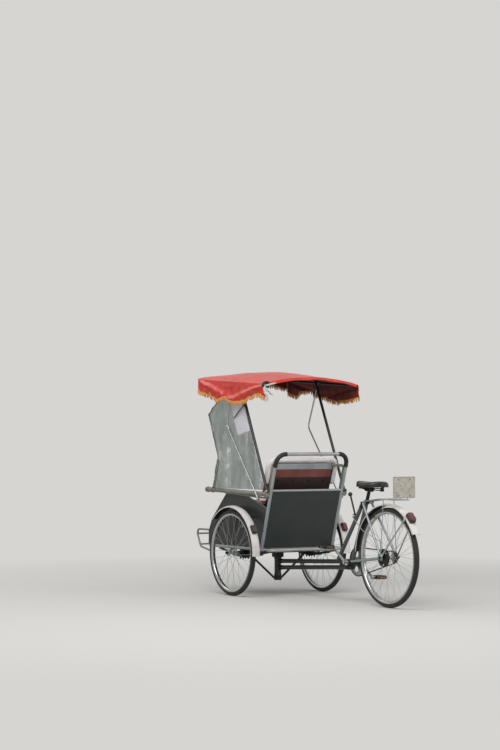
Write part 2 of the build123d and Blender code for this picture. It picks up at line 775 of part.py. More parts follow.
# X of a rib and its crown over the side rails, from the rear edge to the front edge
ribs = [
    (roof_back_x + 12, 46),
    (bow_top_x, bow_crown),
    (front_axle_x + 255, 52),
    (roof_front_x - 12, 27),
]
with BuildPart() as canopy_ribs:
    for x, crown in ribs:
        left, middle, right = (
            (x, -rib_half_width, roof_z(x)),
            (x, 0, roof_z(x) + crown),
            (x, rib_half_width, roof_z(x)),
        )
        with BuildLine() as arch:
            ThreePointArc(left, middle, right)
        with BuildSketch(Plane(origin=arch.line @ 0, z_dir=arch.line % 0)) as section:
            Circle(rib_radius - 1)
        sweep(section.sketch, path=arch.line)
    for side in (-1, 1):
        add_rod(
            (roof_back_x, side * rib_half_width, roof_back_z),
            (roof_front_x, side * rib_half_width, roof_front_z),
            rib_radius,
        )
pieces["canopy_ribs"] = canopy_ribs

bow_foot = Vector(front_axle_x - 384, rail_y, rail_z + 9)
arch_radius = (rib_half_width**2 + bow_crown**2) / (2 * bow_crown)
arch_at_bow = bow_crown - arch_radius + (arch_radius**2 - rail_y**2) ** 0.5
bow_head = Vector(bow_top_x, rail_y, roof_z(bow_top_x) + arch_at_bow)
bow_radius = 10


def bow_x(z):
    """X of the main bow's straight legs at a height."""
    return bow_foot.X + (bow_head.X - bow_foot.X) * (z - bow_foot.Z) / (bow_head.Z - bow_foot.Z)


with BuildPart() as canopy_bows:
    for side in (-1, 1):
        foot = (bow_foot.X, side * bow_foot.Y, bow_foot.Z)
        head = (bow_head.X, side * bow_head.Y, bow_head.Z)
        add_rod(foot, head, bow_radius)
    add(arm_rails.part, mode=Mode.SUBTRACT)
    add(canopy_ribs.part, mode=Mode.SUBTRACT)
    add(push_bar.part, mode=Mode.SUBTRACT)
    add(back_posts.part, mode=Mode.SUBTRACT)
pieces["canopy_bows"] = canopy_bows

strut_radius = 6
strut_y = rail_y + rail_radius + strut_radius
strut_head_x = bow_top_x + 45
with BuildPart() as canopy_struts:
    for side in (-1, 1):
        strut_foot = (front_axle_x - 292, side * strut_y, rail_z - 32)
        strut_knee = (front_axle_x + 129, side * strut_y, 1203)
        strut_head = (strut_head_x, side * (rib_half_width - 2), roof_z(strut_head_x))
        add_pipe([strut_foot, strut_knee, strut_head], 60, strut_radius)
        with Locations(Plane(origin=strut_foot, z_dir=(0, 1, 0))):
            Cylinder(strut_radius + 5, 2 * strut_radius + 3)
    add(arm_rails.part, mode=Mode.SUBTRACT)
    add(canopy_ribs.part, mode=Mode.SUBTRACT)
pieces["canopy_struts"] = canopy_struts

# Canopy cloth, one sheet over the ribs that turns down at the sides
sheet_y = rib_half_width + rib_radius + seat_gap
outer_y = sheet_y + cloth
turn_down = -14
cloth_back = roof_back_x - 10
cloth_front = roof_front_x + 10
cloth_sections = [(cloth_back, ribs[0][1]), *ribs[1:-1], (cloth_front, ribs[-1][1])]
with BuildPart() as canopy_cloth:
    profiles = []
    for x, crown in cloth_sections:
        low = rib_radius + seat_gap
        high = low + cloth
        rib_plane = Plane(origin=(x, 0, roof_z(x)), x_dir=(0, 1, 0), z_dir=(1, 0, 0))
        with BuildSketch(rib_plane) as profile:
            with BuildLine():
                ThreePointArc((-sheet_y, low), (0, crown + low), (sheet_y, low))
                Polyline((sheet_y, low), (sheet_y, turn_down), (outer_y, turn_down), (outer_y, high))
                ThreePointArc((outer_y, high), (0, crown + high), (-outer_y, high))
                Polyline((-outer_y, high), (-outer_y, turn_down), (-sheet_y, turn_down), (-sheet_y, low))
            make_face()
        profiles.append(profile.sketch)
    loft(profiles, ruled=True)
pieces["canopy_cloth"] = canopy_cloth

# Valance at each side: depths at the rear, the middle and the front
hang_back = 104
hang_middle = 165
hang_front = 118
hang_y = outer_y + seat_gap + cloth / 2
hang_middle_x = (roof_back_x + roof_front_x) / 2
with BuildPart() as canopy_valance:
    for side in (-1, 1):
        hang_plane = Plane(origin=(0, side * hang_y, 0), x_dir=(1, 0, 0), z_dir=(0, -1, 0))
        back_low = (cloth_back, roof_z(cloth_back) - hang_back)
        middle_low = (hang_middle_x, roof_z(hang_middle_x) - hang_middle)
        front_low = (cloth_front, roof_z(cloth_front) - hang_front)
        front_high = (cloth_front, roof_z(cloth_front))
        back_high = (cloth_back, roof_z(cloth_back))
        with BuildSketch(hang_plane) as hang:
            with BuildLine():
                ThreePointArc(back_low, middle_low, front_low)
                Polyline(front_low, front_high, back_high, back_low)
            make_face()
        extrude(hang.sketch, amount=cloth / 2, both=True)
pieces["canopy_valance"] = canopy_valance

# Clear curtain on the left side, between the bow and the front of the canopy
film = 1.4
curtain_y = rail_y + bow_radius + seat_gap + film / 2
curtain_low = rail_z + 48
curtain_points = [
    (bow_x(curtain_low), curtain_low),
    (front_axle_x + 334, curtain_low),
    (front_axle_x + 263, 982),
    (front_axle_x + 400, 1291),
    (front_axle_x + 215, 1425),
    (bow_x(1410), 1410),
]
with BuildPart() as side_curtain:
    with BuildSketch(Plane(origin=(0, curtain_y, 0), x_dir=(1, 0, 0), z_dir=(0, -1, 0))) as face:
        with BuildLine():
            Polyline(*curtain_points, close=True)
        make_face()
    extrude(face.sketch, amount=film / 2, both=True)
pieces["side_curtain"] = side_curtain

notice_points = [
    (front_axle_x + 128, 1394),
    (bow_x(1402) + 8, 1402),
    (bow_x(1170) + 6, 1170),
    (front_axle_x - 2, 1136),
]
with BuildPart() as notice_sheet:
    notice_plane = Plane(origin=(0, curtain_y + film / 2 + 0.2, 0), x_dir=(1, 0, 0), z_dir=(0, -1, 0))
    with BuildSketch(notice_plane) as face:
        with BuildLine():
            Polyline(*notice_points, close=True)
        make_face()
    extrude(face.sketch, amount=0.2, both=True)
pieces["notice_sheet"] = notice_sheet

# Front mudguards
front_guard_outer = front_tyre_radius + 30
with BuildPart() as front_mudguards:
    for side in (-1, 1):
        centre = Vector(front_axle_x, side * track / 2, front_tyre_radius)
        add_guard(centre, front_guard_outer, 44, 182, 56, 14)
pieces["front_mudguards"] = front_mudguards

with BuildPart() as guard_brackets:
    for side in (-1, 1):
        for angle in (80, 128):
            reach = front_guard_outer - 9
            x = front_axle_x + reach * cos(radians(angle))
            z = front_tyre_radius + reach * sin(radians(angle))
            add_rod((x, side * (side_y - 1), z), (x, side * (track / 2 - 26), z), 5)
        add_rod(
            (front_axle_x - 326, side * half_width, frame_z - 4),
            (front_axle_x - 326, side * (track / 2 - 26), frame_z - 18),
            5,
        )
    add(side_panels.part, mode=Mode.SUBTRACT)
    add(front_mudguards.part, mode=Mode.SUBTRACT)
    add(body_frame.part, mode=Mode.SUBTRACT)
pieces["guard_brackets"] = guard_brackets

with BuildPart() as front_reflectors:
    for side in (-1, 1):
        centre = Vector(front_axle_x, side * track / 2, front_tyre_radius)
        with Locations(guard_plane(centre, front_guard_outer - 2.8, 149)):
            Box(40, 64, 18, align=(Align.CENTER, Align.CENTER, Align.MIN))
            with Locations((0, 0, 18)):
                Box(36, 56, 12, align=(Align.CENTER, Align.CENTER, Align.MIN))
    add(front_mudguards.part, mode=Mode.SUBTRACT)
pieces["front_reflectors"] = front_reflectors

# Bumper loops in front of the footboard
bumper_x = front_axle_x + bumper_reach
bumper_y = half_width - 45
with BuildPart() as front_bumper:
    for side in (-1, 1):
        y = side * bumper_y
        add_pipe(
            [
                (frame_front_x + 16, y, frame_z - 50),
                (frame_front_x + 16, y, frame_z + 108),
                (bumper_x - 7, y, frame_z + 108),
                (bumper_x - 7, y, frame_z + 68),
                (bumper_x - 55, y, frame_z - 20),
            ],
            30,
            7,
            close=True,
        )
    for x, z in ((bumper_x - 7, frame_z + 73), (bumper_x - 46, frame_z - 4)):
        add_rod((x, -bumper_y, z), (x, bumper_y, z), 6)
    add(body_frame.part, mode=Mode.SUBTRACT)
pieces["front_bumper"] = front_bumper

os.makedirs("parts", exist_ok=True)
for name, piece in pieces.items():
    piece.part.label = name
    export_step(piece.part, f"parts/{name}.step")
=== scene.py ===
import bmesh
import bpy
import random
from math import acos, atan2, cos, exp, pi, radians, sin, sqrt, tan
from mathutils import Matrix, Vector, noise
from mathutils.bvhtree import BVHTree


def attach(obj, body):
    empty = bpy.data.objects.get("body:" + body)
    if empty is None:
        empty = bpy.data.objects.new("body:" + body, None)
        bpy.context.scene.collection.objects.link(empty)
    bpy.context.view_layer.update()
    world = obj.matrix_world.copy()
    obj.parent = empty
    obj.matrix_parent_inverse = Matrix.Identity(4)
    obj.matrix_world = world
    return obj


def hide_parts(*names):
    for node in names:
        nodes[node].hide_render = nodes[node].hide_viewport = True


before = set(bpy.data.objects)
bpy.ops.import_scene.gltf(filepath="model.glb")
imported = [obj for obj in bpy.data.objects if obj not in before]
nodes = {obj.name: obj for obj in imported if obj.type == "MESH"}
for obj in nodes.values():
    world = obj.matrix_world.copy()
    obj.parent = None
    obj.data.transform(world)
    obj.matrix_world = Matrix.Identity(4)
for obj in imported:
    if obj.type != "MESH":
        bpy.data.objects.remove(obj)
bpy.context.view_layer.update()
print("stage: frame loaded")

# camera, where the photographer stood: across the street, at chest height
view = {"spot": (-11.2375, 7.3064, 1.105), "along": (0.8558, -0.5162, 0.0340), "lens": 91.73, "sensor": 36}
cameraData = bpy.data.cameras.new("viewCamera")
cameraData.lens, cameraData.sensor_width = view["lens"], view["sensor"]
camera = bpy.data.objects.new("viewCamera", cameraData)
bpy.context.scene.collection.objects.link(camera)
camera.location = view["spot"]
camera.rotation_euler = Vector(view["along"]).to_track_quat("-Z", "Y").to_euler()
bpy.context.scene.camera = camera
bpy.context.scene.view_settings.view_transform = "Standard"

# where the main things are, in metres
axleRear = Vector((-0.895, 0, 0.330))
axleFront = Vector((0.488, 0, 0.305))
trackHalf = 0.380
crankSpot = Vector((-0.470, 0, 0.279))
clusterSpot = Vector((-0.643, 0, 0.690))


def linear(hexColour, darker=1.0):
    # sRGB hex to the linear colour that the sockets take
    out = []
    for i in (1, 3, 5):
        c = int(hexColour[i:i + 2], 16) / 255
        out.append(darker * (c / 12.92 if c <= 0.04045 else ((c + 0.055) / 1.055) ** 2.4))
    return (*out, 1.0)


def asColour(level):
    # a hex colour, a grey level or a finished colour, all as a finished colour
    if isinstance(level, str):
        return linear(level)
    return level if isinstance(level, tuple) else (level, level, level, 1.0)


def addNode(tree, kind, ins=None, stops=(), out=0, **settings):
    # one node: its settings, the two stops of its ramp, and its inputs as values, hex colours or links;
    # it gives back the output that is asked for
    node = tree.nodes.new("ShaderNode" + kind)
    for key, value in settings.items():
        setattr(node, key, value)
    for element, (place, level) in zip(node.color_ramp.elements if stops else (), stops):
        element.position, element.color = place, asColour(level)
    for key, value in (ins or {}).items():
        if isinstance(value, bpy.types.NodeSocket):
            tree.links.new(value, node.inputs[key])
        else:
            node.inputs[key].default_value = linear(value) if isinstance(value, str) else value
    return node.outputs[out] if len(node.outputs) else node


def newMaterial(name):
    # an empty material, its tree, and the place on the piece that every pattern starts from
    mat = bpy.data.materials.new(name)
    mat.use_nodes = True
    mat.node_tree.nodes.clear()
    return mat, mat.node_tree, addNode(mat.node_tree, "TexCoord", out="Object")


def layOver(tree, pattern, start, end, under, over):
    # a second colour over the first; start and end say how much of it lies at two levels of the pattern
    mask = addNode(tree, "ValToRGB", {0: pattern}, [start, end])
    return addNode(tree, "Mix", {0: mask, 6: under, 7: over}, out=2, data_type="RGBA")


def closeMaterial(mat, ins, glow=0.0):
    # the body of the surface, with light through it where it glows
    tree = mat.node_tree
    shader = addNode(tree, "BsdfPrincipled", ins)
    if glow:
        through = addNode(tree, "BsdfTranslucent", {"Color": ins["Base Color"], "Normal": ins["Normal"]})
        shader = addNode(tree, "MixShader", {0: glow, 1: shader, 2: through})
    addNode(tree, "OutputMaterial", {0: shader})
    return mat


def enamelSurface(name, base, grime, rust=None, rough=0.4, metal=0.0, dust=0.3, wear=0.5, coat=0.0,
                  cloudMm=90, chipMm=26, dentMm=3.0, shade=0.8, rubbed=None):
    # cloudy paint or metal: grime where it faces up, rust or chips in worn spots, rubbed edges
    mat, tree, place = newMaterial(name)
    cloud = addNode(tree, "TexNoise", {"Vector": place, "Scale": 1000 / cloudMm, "Detail": 6})
    fine = addNode(tree, "TexNoise", {"Vector": place, "Scale": 90, "Detail": 5, "Roughness": 0.7})
    face = addNode(tree, "NewGeometry", out="Normal")
    upward = addNode(tree, "SeparateXYZ", {0: face}, out="Z")
    lift = addNode(tree, "Math", {0: upward, 1: fine}, operation="MULTIPLY")
    colour = addNode(tree, "ValToRGB", {0: cloud}, [(0.3, linear(base, shade)), (0.7, base)])
    colour = layOver(tree, lift, (0.10, 0), (0.75, dust), colour, grime)
    gloss = addNode(tree, "ValToRGB", {0: fine}, [(0.3, rough * 0.8), (0.75, min(1, rough * 1.35))])
    metalLevel = metal
    if rubbed:
        bevelled = addNode(tree, "Bevel", {"Radius": 0.003}, samples=4)
        same = addNode(tree, "VectorMath", {0: bevelled, 1: face}, out="Value", operation="DOT_PRODUCT")
        turned = addNode(tree, "Math", {0: 1.0, 1: same}, operation="SUBTRACT")
        edge = addNode(tree, "Math", {0: turned, 1: 6.0, 2: fine}, operation="MULTIPLY_ADD")
        colour = layOver(tree, edge, (0.78, 0), (1.0, 0.8), colour, rubbed)
    if rust:
        spots = addNode(tree, "TexNoise", {"Vector": place, "Scale": 1000 / chipMm, "Detail": 8, "Roughness": 0.72})
        low = 0.60 + 0.06 * (1 - wear)
        colour = layOver(tree, spots, (low, 0), (low + 0.1, 0.9), colour, rust)
        gloss = layOver(tree, spots, (low, 0), (low + 0.1, 0.9), gloss, asColour(0.85))
        if metal:
            metalLevel = addNode(tree, "ValToRGB", {0: spots}, [(low, metal), (low + 0.09, 0.1)])
    height = addNode(tree, "Math", {0: fine, 1: cloud}, operation="ADD")
    bump = addNode(tree, "Bump", {"Strength": 0.25, "Distance": dentMm / 1000, "Height": height})
    return closeMaterial(mat, {"Base Color": colour, "Roughness": gloss, "Metallic": metalLevel, "Normal": bump,
                               "Coat Weight": coat, "Coat Roughness": 0.12})


def guardEnamel(name, axle):
    # white stove enamel on pressed steel: clean and glossy outside, black under the arch from road grime and painted
    # shade
    mat, tree, place = newMaterial(name)
    face = addNode(tree, "NewGeometry", out="Normal")
    flat = addNode(tree, "VectorMath", {0: place, 1: (axle.x, 0, axle.z)}, operation="SUBTRACT")
    flat = addNode(tree, "VectorMath", {0: flat, 1: (1, 0, 1)}, operation="MULTIPLY")
    outward = addNode(tree, "VectorMath", {0: flat}, operation="NORMALIZE")
    facing = addNode(tree, "VectorMath", {0: outward, 1: face}, out="Value", operation="DOT_PRODUCT")
    fine = addNode(tree, "TexNoise", {"Vector": place, "Scale": 70, "Detail": 6, "Roughness": 0.7})
    cloud = addNode(tree, "TexNoise", {"Vector": place, "Scale": 9, "Detail": 5})
    flecks = addNode(tree, "TexNoise", {"Vector": place, "Scale": 42, "Detail": 9, "Roughness": 0.75})
    grimeAndShadeUnderArch = addNode(tree, "Math", {0: fine, 1: 0.5, 2: facing}, operation="MULTIPLY_ADD")
    paint = addNode(tree, "ValToRGB", {0: cloud}, [(0.3, "#C9C4BF"), (0.65, "#E0DBD7")])
    paint = layOver(tree, flecks, (0.64, 0), (0.72, 0.85), paint, "#7A5A46")
    # black where the face turns under the arch: road grime and painted shade
    colour = layOver(tree, grimeAndShadeUnderArch, (0.02, 1), (0.30, 0), paint, "#1B1B1A")
    gloss = layOver(tree, grimeAndShadeUnderArch, (0.02, 1), (0.30, 0), asColour(0.3), asColour(0.9))
    bump = addNode(tree, "Bump", {"Strength": 0.2, "Distance": 0.002, "Height": fine})
    return closeMaterial(mat, {"Base Color": colour, "Roughness": gloss, "Normal": bump})


def clothSurface(name, base, faded, shadow, threadMm, rough=0.5, sheen=0.2, grime="#5A4238", weave=0.35, glow=0.0,
                 upFade=0.8, stained=0.5, rumpleMm=6.0, coat=0.0):
    # coated or plain woven cloth: thread bump, sun-faded where it faces up, darker in the folds
    mat, tree, place = newMaterial(name)
    upward = addNode(tree, "SeparateXYZ", {0: addNode(tree, "NewGeometry", out="Normal")}, out="Z")
    cloud = addNode(tree, "TexNoise", {"Vector": place, "Scale": 7, "Detail": 7, "Roughness": 0.6})
    stain = addNode(tree, "TexNoise", {"Vector": place, "Scale": 24, "Detail": 8, "Roughness": 0.7})
    lift = addNode(tree, "Math", {0: upward, 1: cloud}, operation="MULTIPLY")
    colour = addNode(tree, "ValToRGB", {0: cloud}, [(0.28, shadow), (0.62, base)])
    colour = layOver(tree, lift, (0.12, 0), (0.6, upFade), colour, faded)
    colour = layOver(tree, stain, (0.60, 0), (0.78, stained), colour, grime)
    # two crossed waves stand for warp and weft, drawn twice as coarse as the real thread so that it can be seen
    wave = {"Vector": place, "Scale": 314 / threadMm, "Distortion": 0.4}
    warp = addNode(tree, "TexWave", wave, out="Fac", bands_direction="X")
    weft = addNode(tree, "TexWave", wave, out="Fac", bands_direction="Z")
    thread = addNode(tree, "Math", {0: warp, 1: weft}, operation="ADD")
    rumple = addNode(tree, "Bump", {"Strength": 0.5, "Distance": rumpleMm / 1000, "Height": cloud})
    bump = addNode(tree, "Bump", {"Strength": weave, "Distance": 0.0006, "Height": thread, "Normal": rumple})
    gloss = addNode(tree, "ValToRGB", {0: stain}, [(0.3, rough * 0.8), (0.8, min(1, rough * 1.4))])
    return closeMaterial(mat, {"Base Color": colour, "Roughness": gloss, "Normal": bump, "Sheen Weight": sheen,
                               "Sheen Roughness": 0.4, "Coat Weight": coat, "Coat Roughness": 0.18}, glow)


def vinylSurface(name, base, shadow, grime, grainMm=2.4, rough=0.36, coat=0.15):
    # embossed PVC upholstery: a fine pebble grain, soft gloss, grime in the hollows
    mat, tree, place = newMaterial(name)
    cloud = addNode(tree, "TexNoise", {"Vector": place, "Scale": 8, "Detail": 6})
    stain = addNode(tree, "TexNoise", {"Vector": place, "Scale": 30, "Detail": 8, "Roughness": 0.7})
    colour = addNode(tree, "ValToRGB", {0: cloud}, [(0.3, shadow), (0.65, base)])
    colour = layOver(tree, stain, (0.58, 0), (0.78, 0.55), colour, grime)
    pebble = addNode(tree, "TexVoronoi", {"Vector": place, "Scale": 1000 / grainMm})
    bump = addNode(tree, "Bump", {"Strength": 0.22, "Distance": 0.0006, "Height": pebble})
    gloss = addNode(tree, "ValToRGB", {0: stain}, [(0.3, rough * 0.8), (0.8, rough * 1.5)])
    return closeMaterial(mat, {"Base Color": colour, "Roughness": gloss, "Normal": bump, "Coat Weight": coat,
                               "Coat Roughness": 0.2, "IOR": 1.53})


def tyreRubber():
    # vulcanised rubber: nearly black, matt, with road dust in the tread
    mat, tree, place = newMaterial("vulcanised tyre rubber, dusty")
    fine = addNode(tree, "TexNoise", {"Vector": place, "Scale": 120, "Detail": 6, "Roughness": 0.7})
    cloud = addNode(tree, "TexNoise", {"Vector": place, "Scale": 14, "Detail": 5})
    colour = addNode(tree, "ValToRGB", {0: cloud}, [(0.3, "#141415"), (0.7, "#232324")])
    colour = layOver(tree, fine, (0.48, 0), (0.75, 0.4), colour, "#4A463F")
    bump = addNode(tree, "Bump", {"Strength": 0.3, "Distance": 0.001, "Height": fine})
    return closeMaterial(mat, {"Base Color": colour, "Roughness": 0.74, "Normal": bump, "IOR": 1.52})


def curtainFilm():
    # calendered clear PVC: smoke-grey body gone milky in patches; long white crease lines, partly whitened film and
    # partly painted glints; sharp glints from its gloss
    mat, tree, place = newMaterial("calendered clear PVC, creased")
    drawn = addNode(tree, "Mapping", {"Vector": place, "Rotation": (0, -0.35, 0), "Scale": (2.4, 1.0, 0.8)})
    haze = addNode(tree, "TexNoise", {"Vector": drawn, "Scale": 5, "Detail": 3, "Distortion": 0.6})
    patch = addNode(tree, "TexNoise", {"Vector": place, "Scale": 22, "Detail": 3, "Roughness": 0.55})
    cells = addNode(tree, "TexVoronoi", {"Vector": drawn, "Scale": 7}, feature="DISTANCE_TO_EDGE")
    # white lines on the crease cells: partly whitened film and partly painted glints
    crease = addNode(tree, "ValToRGB", {0: cells}, [(0.0, 0.8), (0.022, 0)])
    milk = addNode(tree, "Math", {0: haze, 1: patch}, operation="MULTIPLY")
    milky = addNode(tree, "ValToRGB", {0: milk}, [(0.27, 0), (0.42, 0.9)])
    milky = addNode(tree, "Math", {0: crease, 1: 0.6, 2: milky}, operation="MULTIPLY_ADD", use_clamp=True)
    # what comes through is dimmed by the smoky body, and the milk, the painted glints and the gloss lie over it
    smoke = addNode(tree, "ValToRGB", {0: haze}, [(0.35, "#9BA3A0"), (0.7, "#C3C8C6")])
    clear = addNode(tree, "BsdfTransparent", {"Color": smoke})
    colour = addNode(tree, "Mix", {0: milky, 6: "#5C6663", 7: "#D3D7D6"}, out=2, data_type="RGBA")
    cover = addNode(tree, "Math", {0: milky, 1: 0.5, 2: 0.24}, operation="MULTIPLY_ADD", use_clamp=True)
    bump = addNode(tree, "Bump", {"Strength": 0.3, "Distance": 0.006, "Height": haze})
    film = addNode(tree, "BsdfPrincipled", {"Base Color": colour, "Roughness": 0.12, "IOR": 1.53, "Normal": bump})
    addNode(tree, "OutputMaterial", {0: addNode(tree, "MixShader", {0: cover, 1: clear, 2: film})})
    return mat


def sawnBoard(name, base, dark, grainMm=7.0):
    # varnished plywood: grain lines along the board, scuffed through in patches
    mat, tree, place = newMaterial(name)
    drawn = addNode(tree, "Mapping", {"Vector": place, "Scale": (1.0, 12.0, 12.0)})
    grain = addNode(tree, "TexNoise", {"Vector": drawn, "Scale": 1000 / grainMm / 12, "Detail": 8, "Roughness": 0.65})
    scuff = addNode(tree, "TexNoise", {"Vector": place, "Scale": 16, "Detail": 7, "Roughness": 0.7})
    colour = addNode(tree, "ValToRGB", {0: grain}, [(0.35, dark), (0.65, base)])
    colour = layOver(tree, scuff, (0.55, 0), (0.75, 0.6), colour, "#6B6154")
    bump = addNode(tree, "Bump", {"Strength": 0.3, "Distance": 0.001, "Height": grain})
    return closeMaterial(mat, {"Base Color": colour, "Roughness": 0.5, "Normal": bump})


def prismLens(name, base, faded, pitchMm=4.0):
    # moulded acrylic reflector: rows of small prisms under a smooth face, sun-bleached; the prisms' sparkle is
    # painted in as a grid of cells
    mat, tree, place = newMaterial(name)
    cells = addNode(tree, "TexVoronoi", {"Vector": place, "Scale": 1000 / pitchMm, "Randomness": 0.0},
                    distance="MANHATTAN")
    bleach = addNode(tree, "TexNoise", {"Vector": place, "Scale": 30, "Detail": 5})
    colour = addNode(tree, "ValToRGB", {0: bleach}, [(0.3, base), (0.7, faded)])
    # painted sparkle: each cell is lighter in its middle, with painted shade toward its edges
    colour = addNode(tree, "Mix", {0: cells, 6: colour, 7: linear(base, 0.3)}, out=2, data_type="RGBA")
    bump = addNode(tree, "Bump", {"Strength": 0.5, "Distance": 0.001, "Height": cells})
    return closeMaterial(mat, {"Base Color": colour, "Roughness": 0.3, "Normal": bump, "Coat Weight": 0.6,
                               "Coat Roughness": 0.08, "IOR": 1.49})


mats = {
    # deep black with a brushed gloss, brown dust on the upper sides
    "blackFrame": enamelSurface("black enamel brushed on steel tube", "#232628", "#6B6257", "#4A2A1A", rough=0.38),
    # dull oily black that lets the clamps and springs fall back
    "blackIron": enamelSurface("black iron, oily and dusty", "#1B1B1C", "#5B5246", "#4A2F20", rough=0.55, metal=0.3),
    # the dark grey-green of the main tubes, a shade lighter than the panels
    "greenTube": enamelSurface("grey-green enamel on steel tube", "#4C5553", "#7C776A", "#54392A", rough=0.4),
    # pale grey tubes with a soft metal shine that outline the dark body
    "silverTube": enamelSurface("aluminium paint brushed on steel tube", "#A2A9AA", "#A09A8C", "#5A3A26", rough=0.36,
                                metal=0.5, dust=0.2),
    # thin bright lines with small highlights
    "brightZinc": enamelSurface("bright zinc plate on drawn rod", "#C3C7C4", "#A9A294", "#6A5040", rough=0.3,
                                metal=0.9, dust=0.12, wear=0.0, dentMm=0.5),
    # dull stone-grey rail, darker in clouds, dusty on top
    "agedRail": enamelSurface("galvanised water pipe, weathered", "#8A8A7C", "#9C9686", "#54463A", rough=0.5,
                              metal=0.35, dust=0.4, shade=0.65),
    # mirror-like rims that pick up the light along their edges
    "chromeRim": enamelSurface("chrome plate on rolled steel rim", "#C2C4C4", "#8F8779", "#6A4027", rough=0.17,
                               metal=1.0, dust=0.12, wear=0.2),
    # duller bright metal with brown pits, for hubs, cranks and axle ends
    "chromeWorn": enamelSurface("chrome plate, pitted", "#A9ABAB", "#8F8779", "#5A3422", rough=0.26, metal=0.95,
                                dust=0.15, wear=0.8),
    # fine pale lines against the dark wheel wells
    "spokeWire": enamelSurface("galvanised spoke wire", "#B4B6B4", "#8F8779", "#6A4A36", rough=0.3, metal=0.9,
                               dust=0.1, wear=0.1),
    # off-white bands with a soft gloss, black underneath from road grime and painted shade, the lightest shapes low
    # down
    "guardRear": guardEnamel("white stove enamel on the rear guard", axleRear),
    "guardFront": guardEnamel("white stove enamel on the front guards", axleFront),
    # the big dark grey-green plane, cloudy, with pale rubbed edges
    "panelPaint": enamelSurface("grey-green enamel on sheet steel", "#252D2B", "#5F5D54", "#4A3428", rough=0.42,
                                dust=0.2, wear=0.1, cloudMm=140, coat=0.1, rubbed="#59605C"),
    # nearly black sides behind the wheels: a darker copy of the panel paint, as painted shade
    "sideShadePaint": enamelSurface("grey-green enamel on sheet steel, darkened as painted shade", "#1E2523", "#57564E", "#3F2C22", rough=0.4,
                               dust=0.2, wear=0.2, cloudMm=120, coat=0.1),
    # dark brown metal, greasy between the teeth
    "chainSteel": enamelSurface("oiled chain steel", "#4A4540", "#3A2F26", "#5A3A24", rough=0.4, metal=0.85,
                                dust=0.1),
    # matt black rings with grey dust in the tread
    "rubber": tyreRubber(),
    # soft matt black, a little grey where hands and feet rub
    "gripRubber": vinylSurface("moulded black rubber grip", "#1A1A1B", "#101011", "#4A463F", rough=0.55, coat=0.0),
    # black with a small clean gloss
    "blackMoulding": vinylSurface("moulded black plastic", "#1D1D1F", "#131314", "#4F4A42", rough=0.34, coat=0.2),
    # bright orange-red pads with a pebbled shine
    "redVinyl": vinylSurface("embossed red PVC upholstery", "#C62A1C", "#8E1A12", "#5A2A1E"),
    # cool white roll, grey in its hollows
    "whiteVinyl": vinylSurface("embossed white PVC upholstery", "#EFEAEA", "#D9D2D3", "#A89C92"),
    # black saddle with a worn sheen
    "blackVinyl": vinylSurface("embossed black PVC saddle cover", "#1B1B1D", "#111113", "#55504A", rough=0.42),
    # dark red-brown board, blue-grey where the paint has gone
    "boardBack": enamelSurface("painted plywood backrest board", "#33231F", "#5E574C", "#55606A", rough=0.5, dust=0.1,
                               chipMm=60, wear=0.6),
    # the strongest colour: wet-looking orange-red, paler on top, deeper in the folds
    "canopyRed": clothSurface("PVC-coated red canvas", "#D8321F", "#E0392B", "#BC2618", 2.2, rough=0.34, sheen=0.0,
                              grime="#B03A2E", weave=0.08, glow=0.10, upFade=0.6, stained=0.3, rumpleMm=9.0,
                              coat=0.08),
    # dark wine red on the inner face: the shade of the roof painted in as a darker copy of the red canvas
    "canopyShadedUnderside": clothSurface("red canvas, inner face darkened as painted shade", "#7E2620", "#8C3029", "#551813", 2.2, rough=0.8,
                                 sheen=0.1, grime="#3A1612", upFade=0.3),
    # orange-gold strands, lighter at the tips
    "goldYarn": clothSurface("twisted gold rayon yarn", "#E29A34", "#E8AE50", "#C07A22", 1.6, rough=0.55, sheen=0.4),
    # white ribbons against the dark underside
    "whiteTape": clothSurface("white cotton tape", "#DCD9D3", "#E8E6E1", "#B4AFA6", 1.4, rough=0.75, sheen=0.3,
                              grime="#8F877C"),
    # flat black ribbon
    "blackTape": clothSurface("black cotton tape", "#18181A", "#2A2A2B", "#101012", 1.4, rough=0.8, sheen=0.3),
    # plain white card behind a glossy face
    "noticeSleeve": enamelSurface("card in a glossy plastic sleeve", "#D6D4DC", "#B5AFA8", rough=0.2, dust=0.1,
                                  coat=0.7, dentMm=1.2, shade=0.9),
    # grey-white plate with dirty clouds, brown chips and bare edges
    "platePaint": enamelSurface("dull white enamel on a steel plate", "#BDB6AA", "#8F8779", "#6A4A36", rough=0.5,
                                dust=0.15, wear=1.4, cloudMm=30, chipMm=16, shade=0.72, rubbed="#8A7F74"),
    # dark red with a painted grid of sparks
    "redLens": prismLens("moulded red acrylic reflector", "#7E1F24", "#A04A4C"),
    # a lens that the sun has bleached to grey
    "greyLens": prismLens("bleached reflector", "#4A3A3E", "#75666A"),
    # small orange strips on the pedals
    "amberLens": prismLens("moulded amber acrylic reflector", "#A8581A", "#C98A4A"),
    # smoky see-through sheet, milky in patches, with painted glints and whitened film along its creases
    "curtainFilm": curtainFilm(),
    # mid-grey band with a soft shine: the roll's white vinyl in painted shade
    "greyShadeBand": vinylSurface("grey band, white vinyl in painted shade", "#A3A9AA", "#868D8F", "#5A554C", rough=0.4),
    # brown-red stripe behind the roll
    "brownCloth": clothSurface("brown-red oilcloth", "#87483C", "#8F564A", "#5F3129", 2.0, rough=0.5, sheen=0.1),
    # dark brown boards with a fine grain
    "boards": sawnBoard("dark varnished plywood", "#4A382B", "#2C2019"),
    # black mat, grey with dust
    "floorMat": vinylSurface("ribbed rubber floor mat", "#242424", "#171717", "#5B554B", rough=0.6, coat=0.0),
}
print("stage: materials", len(mats))

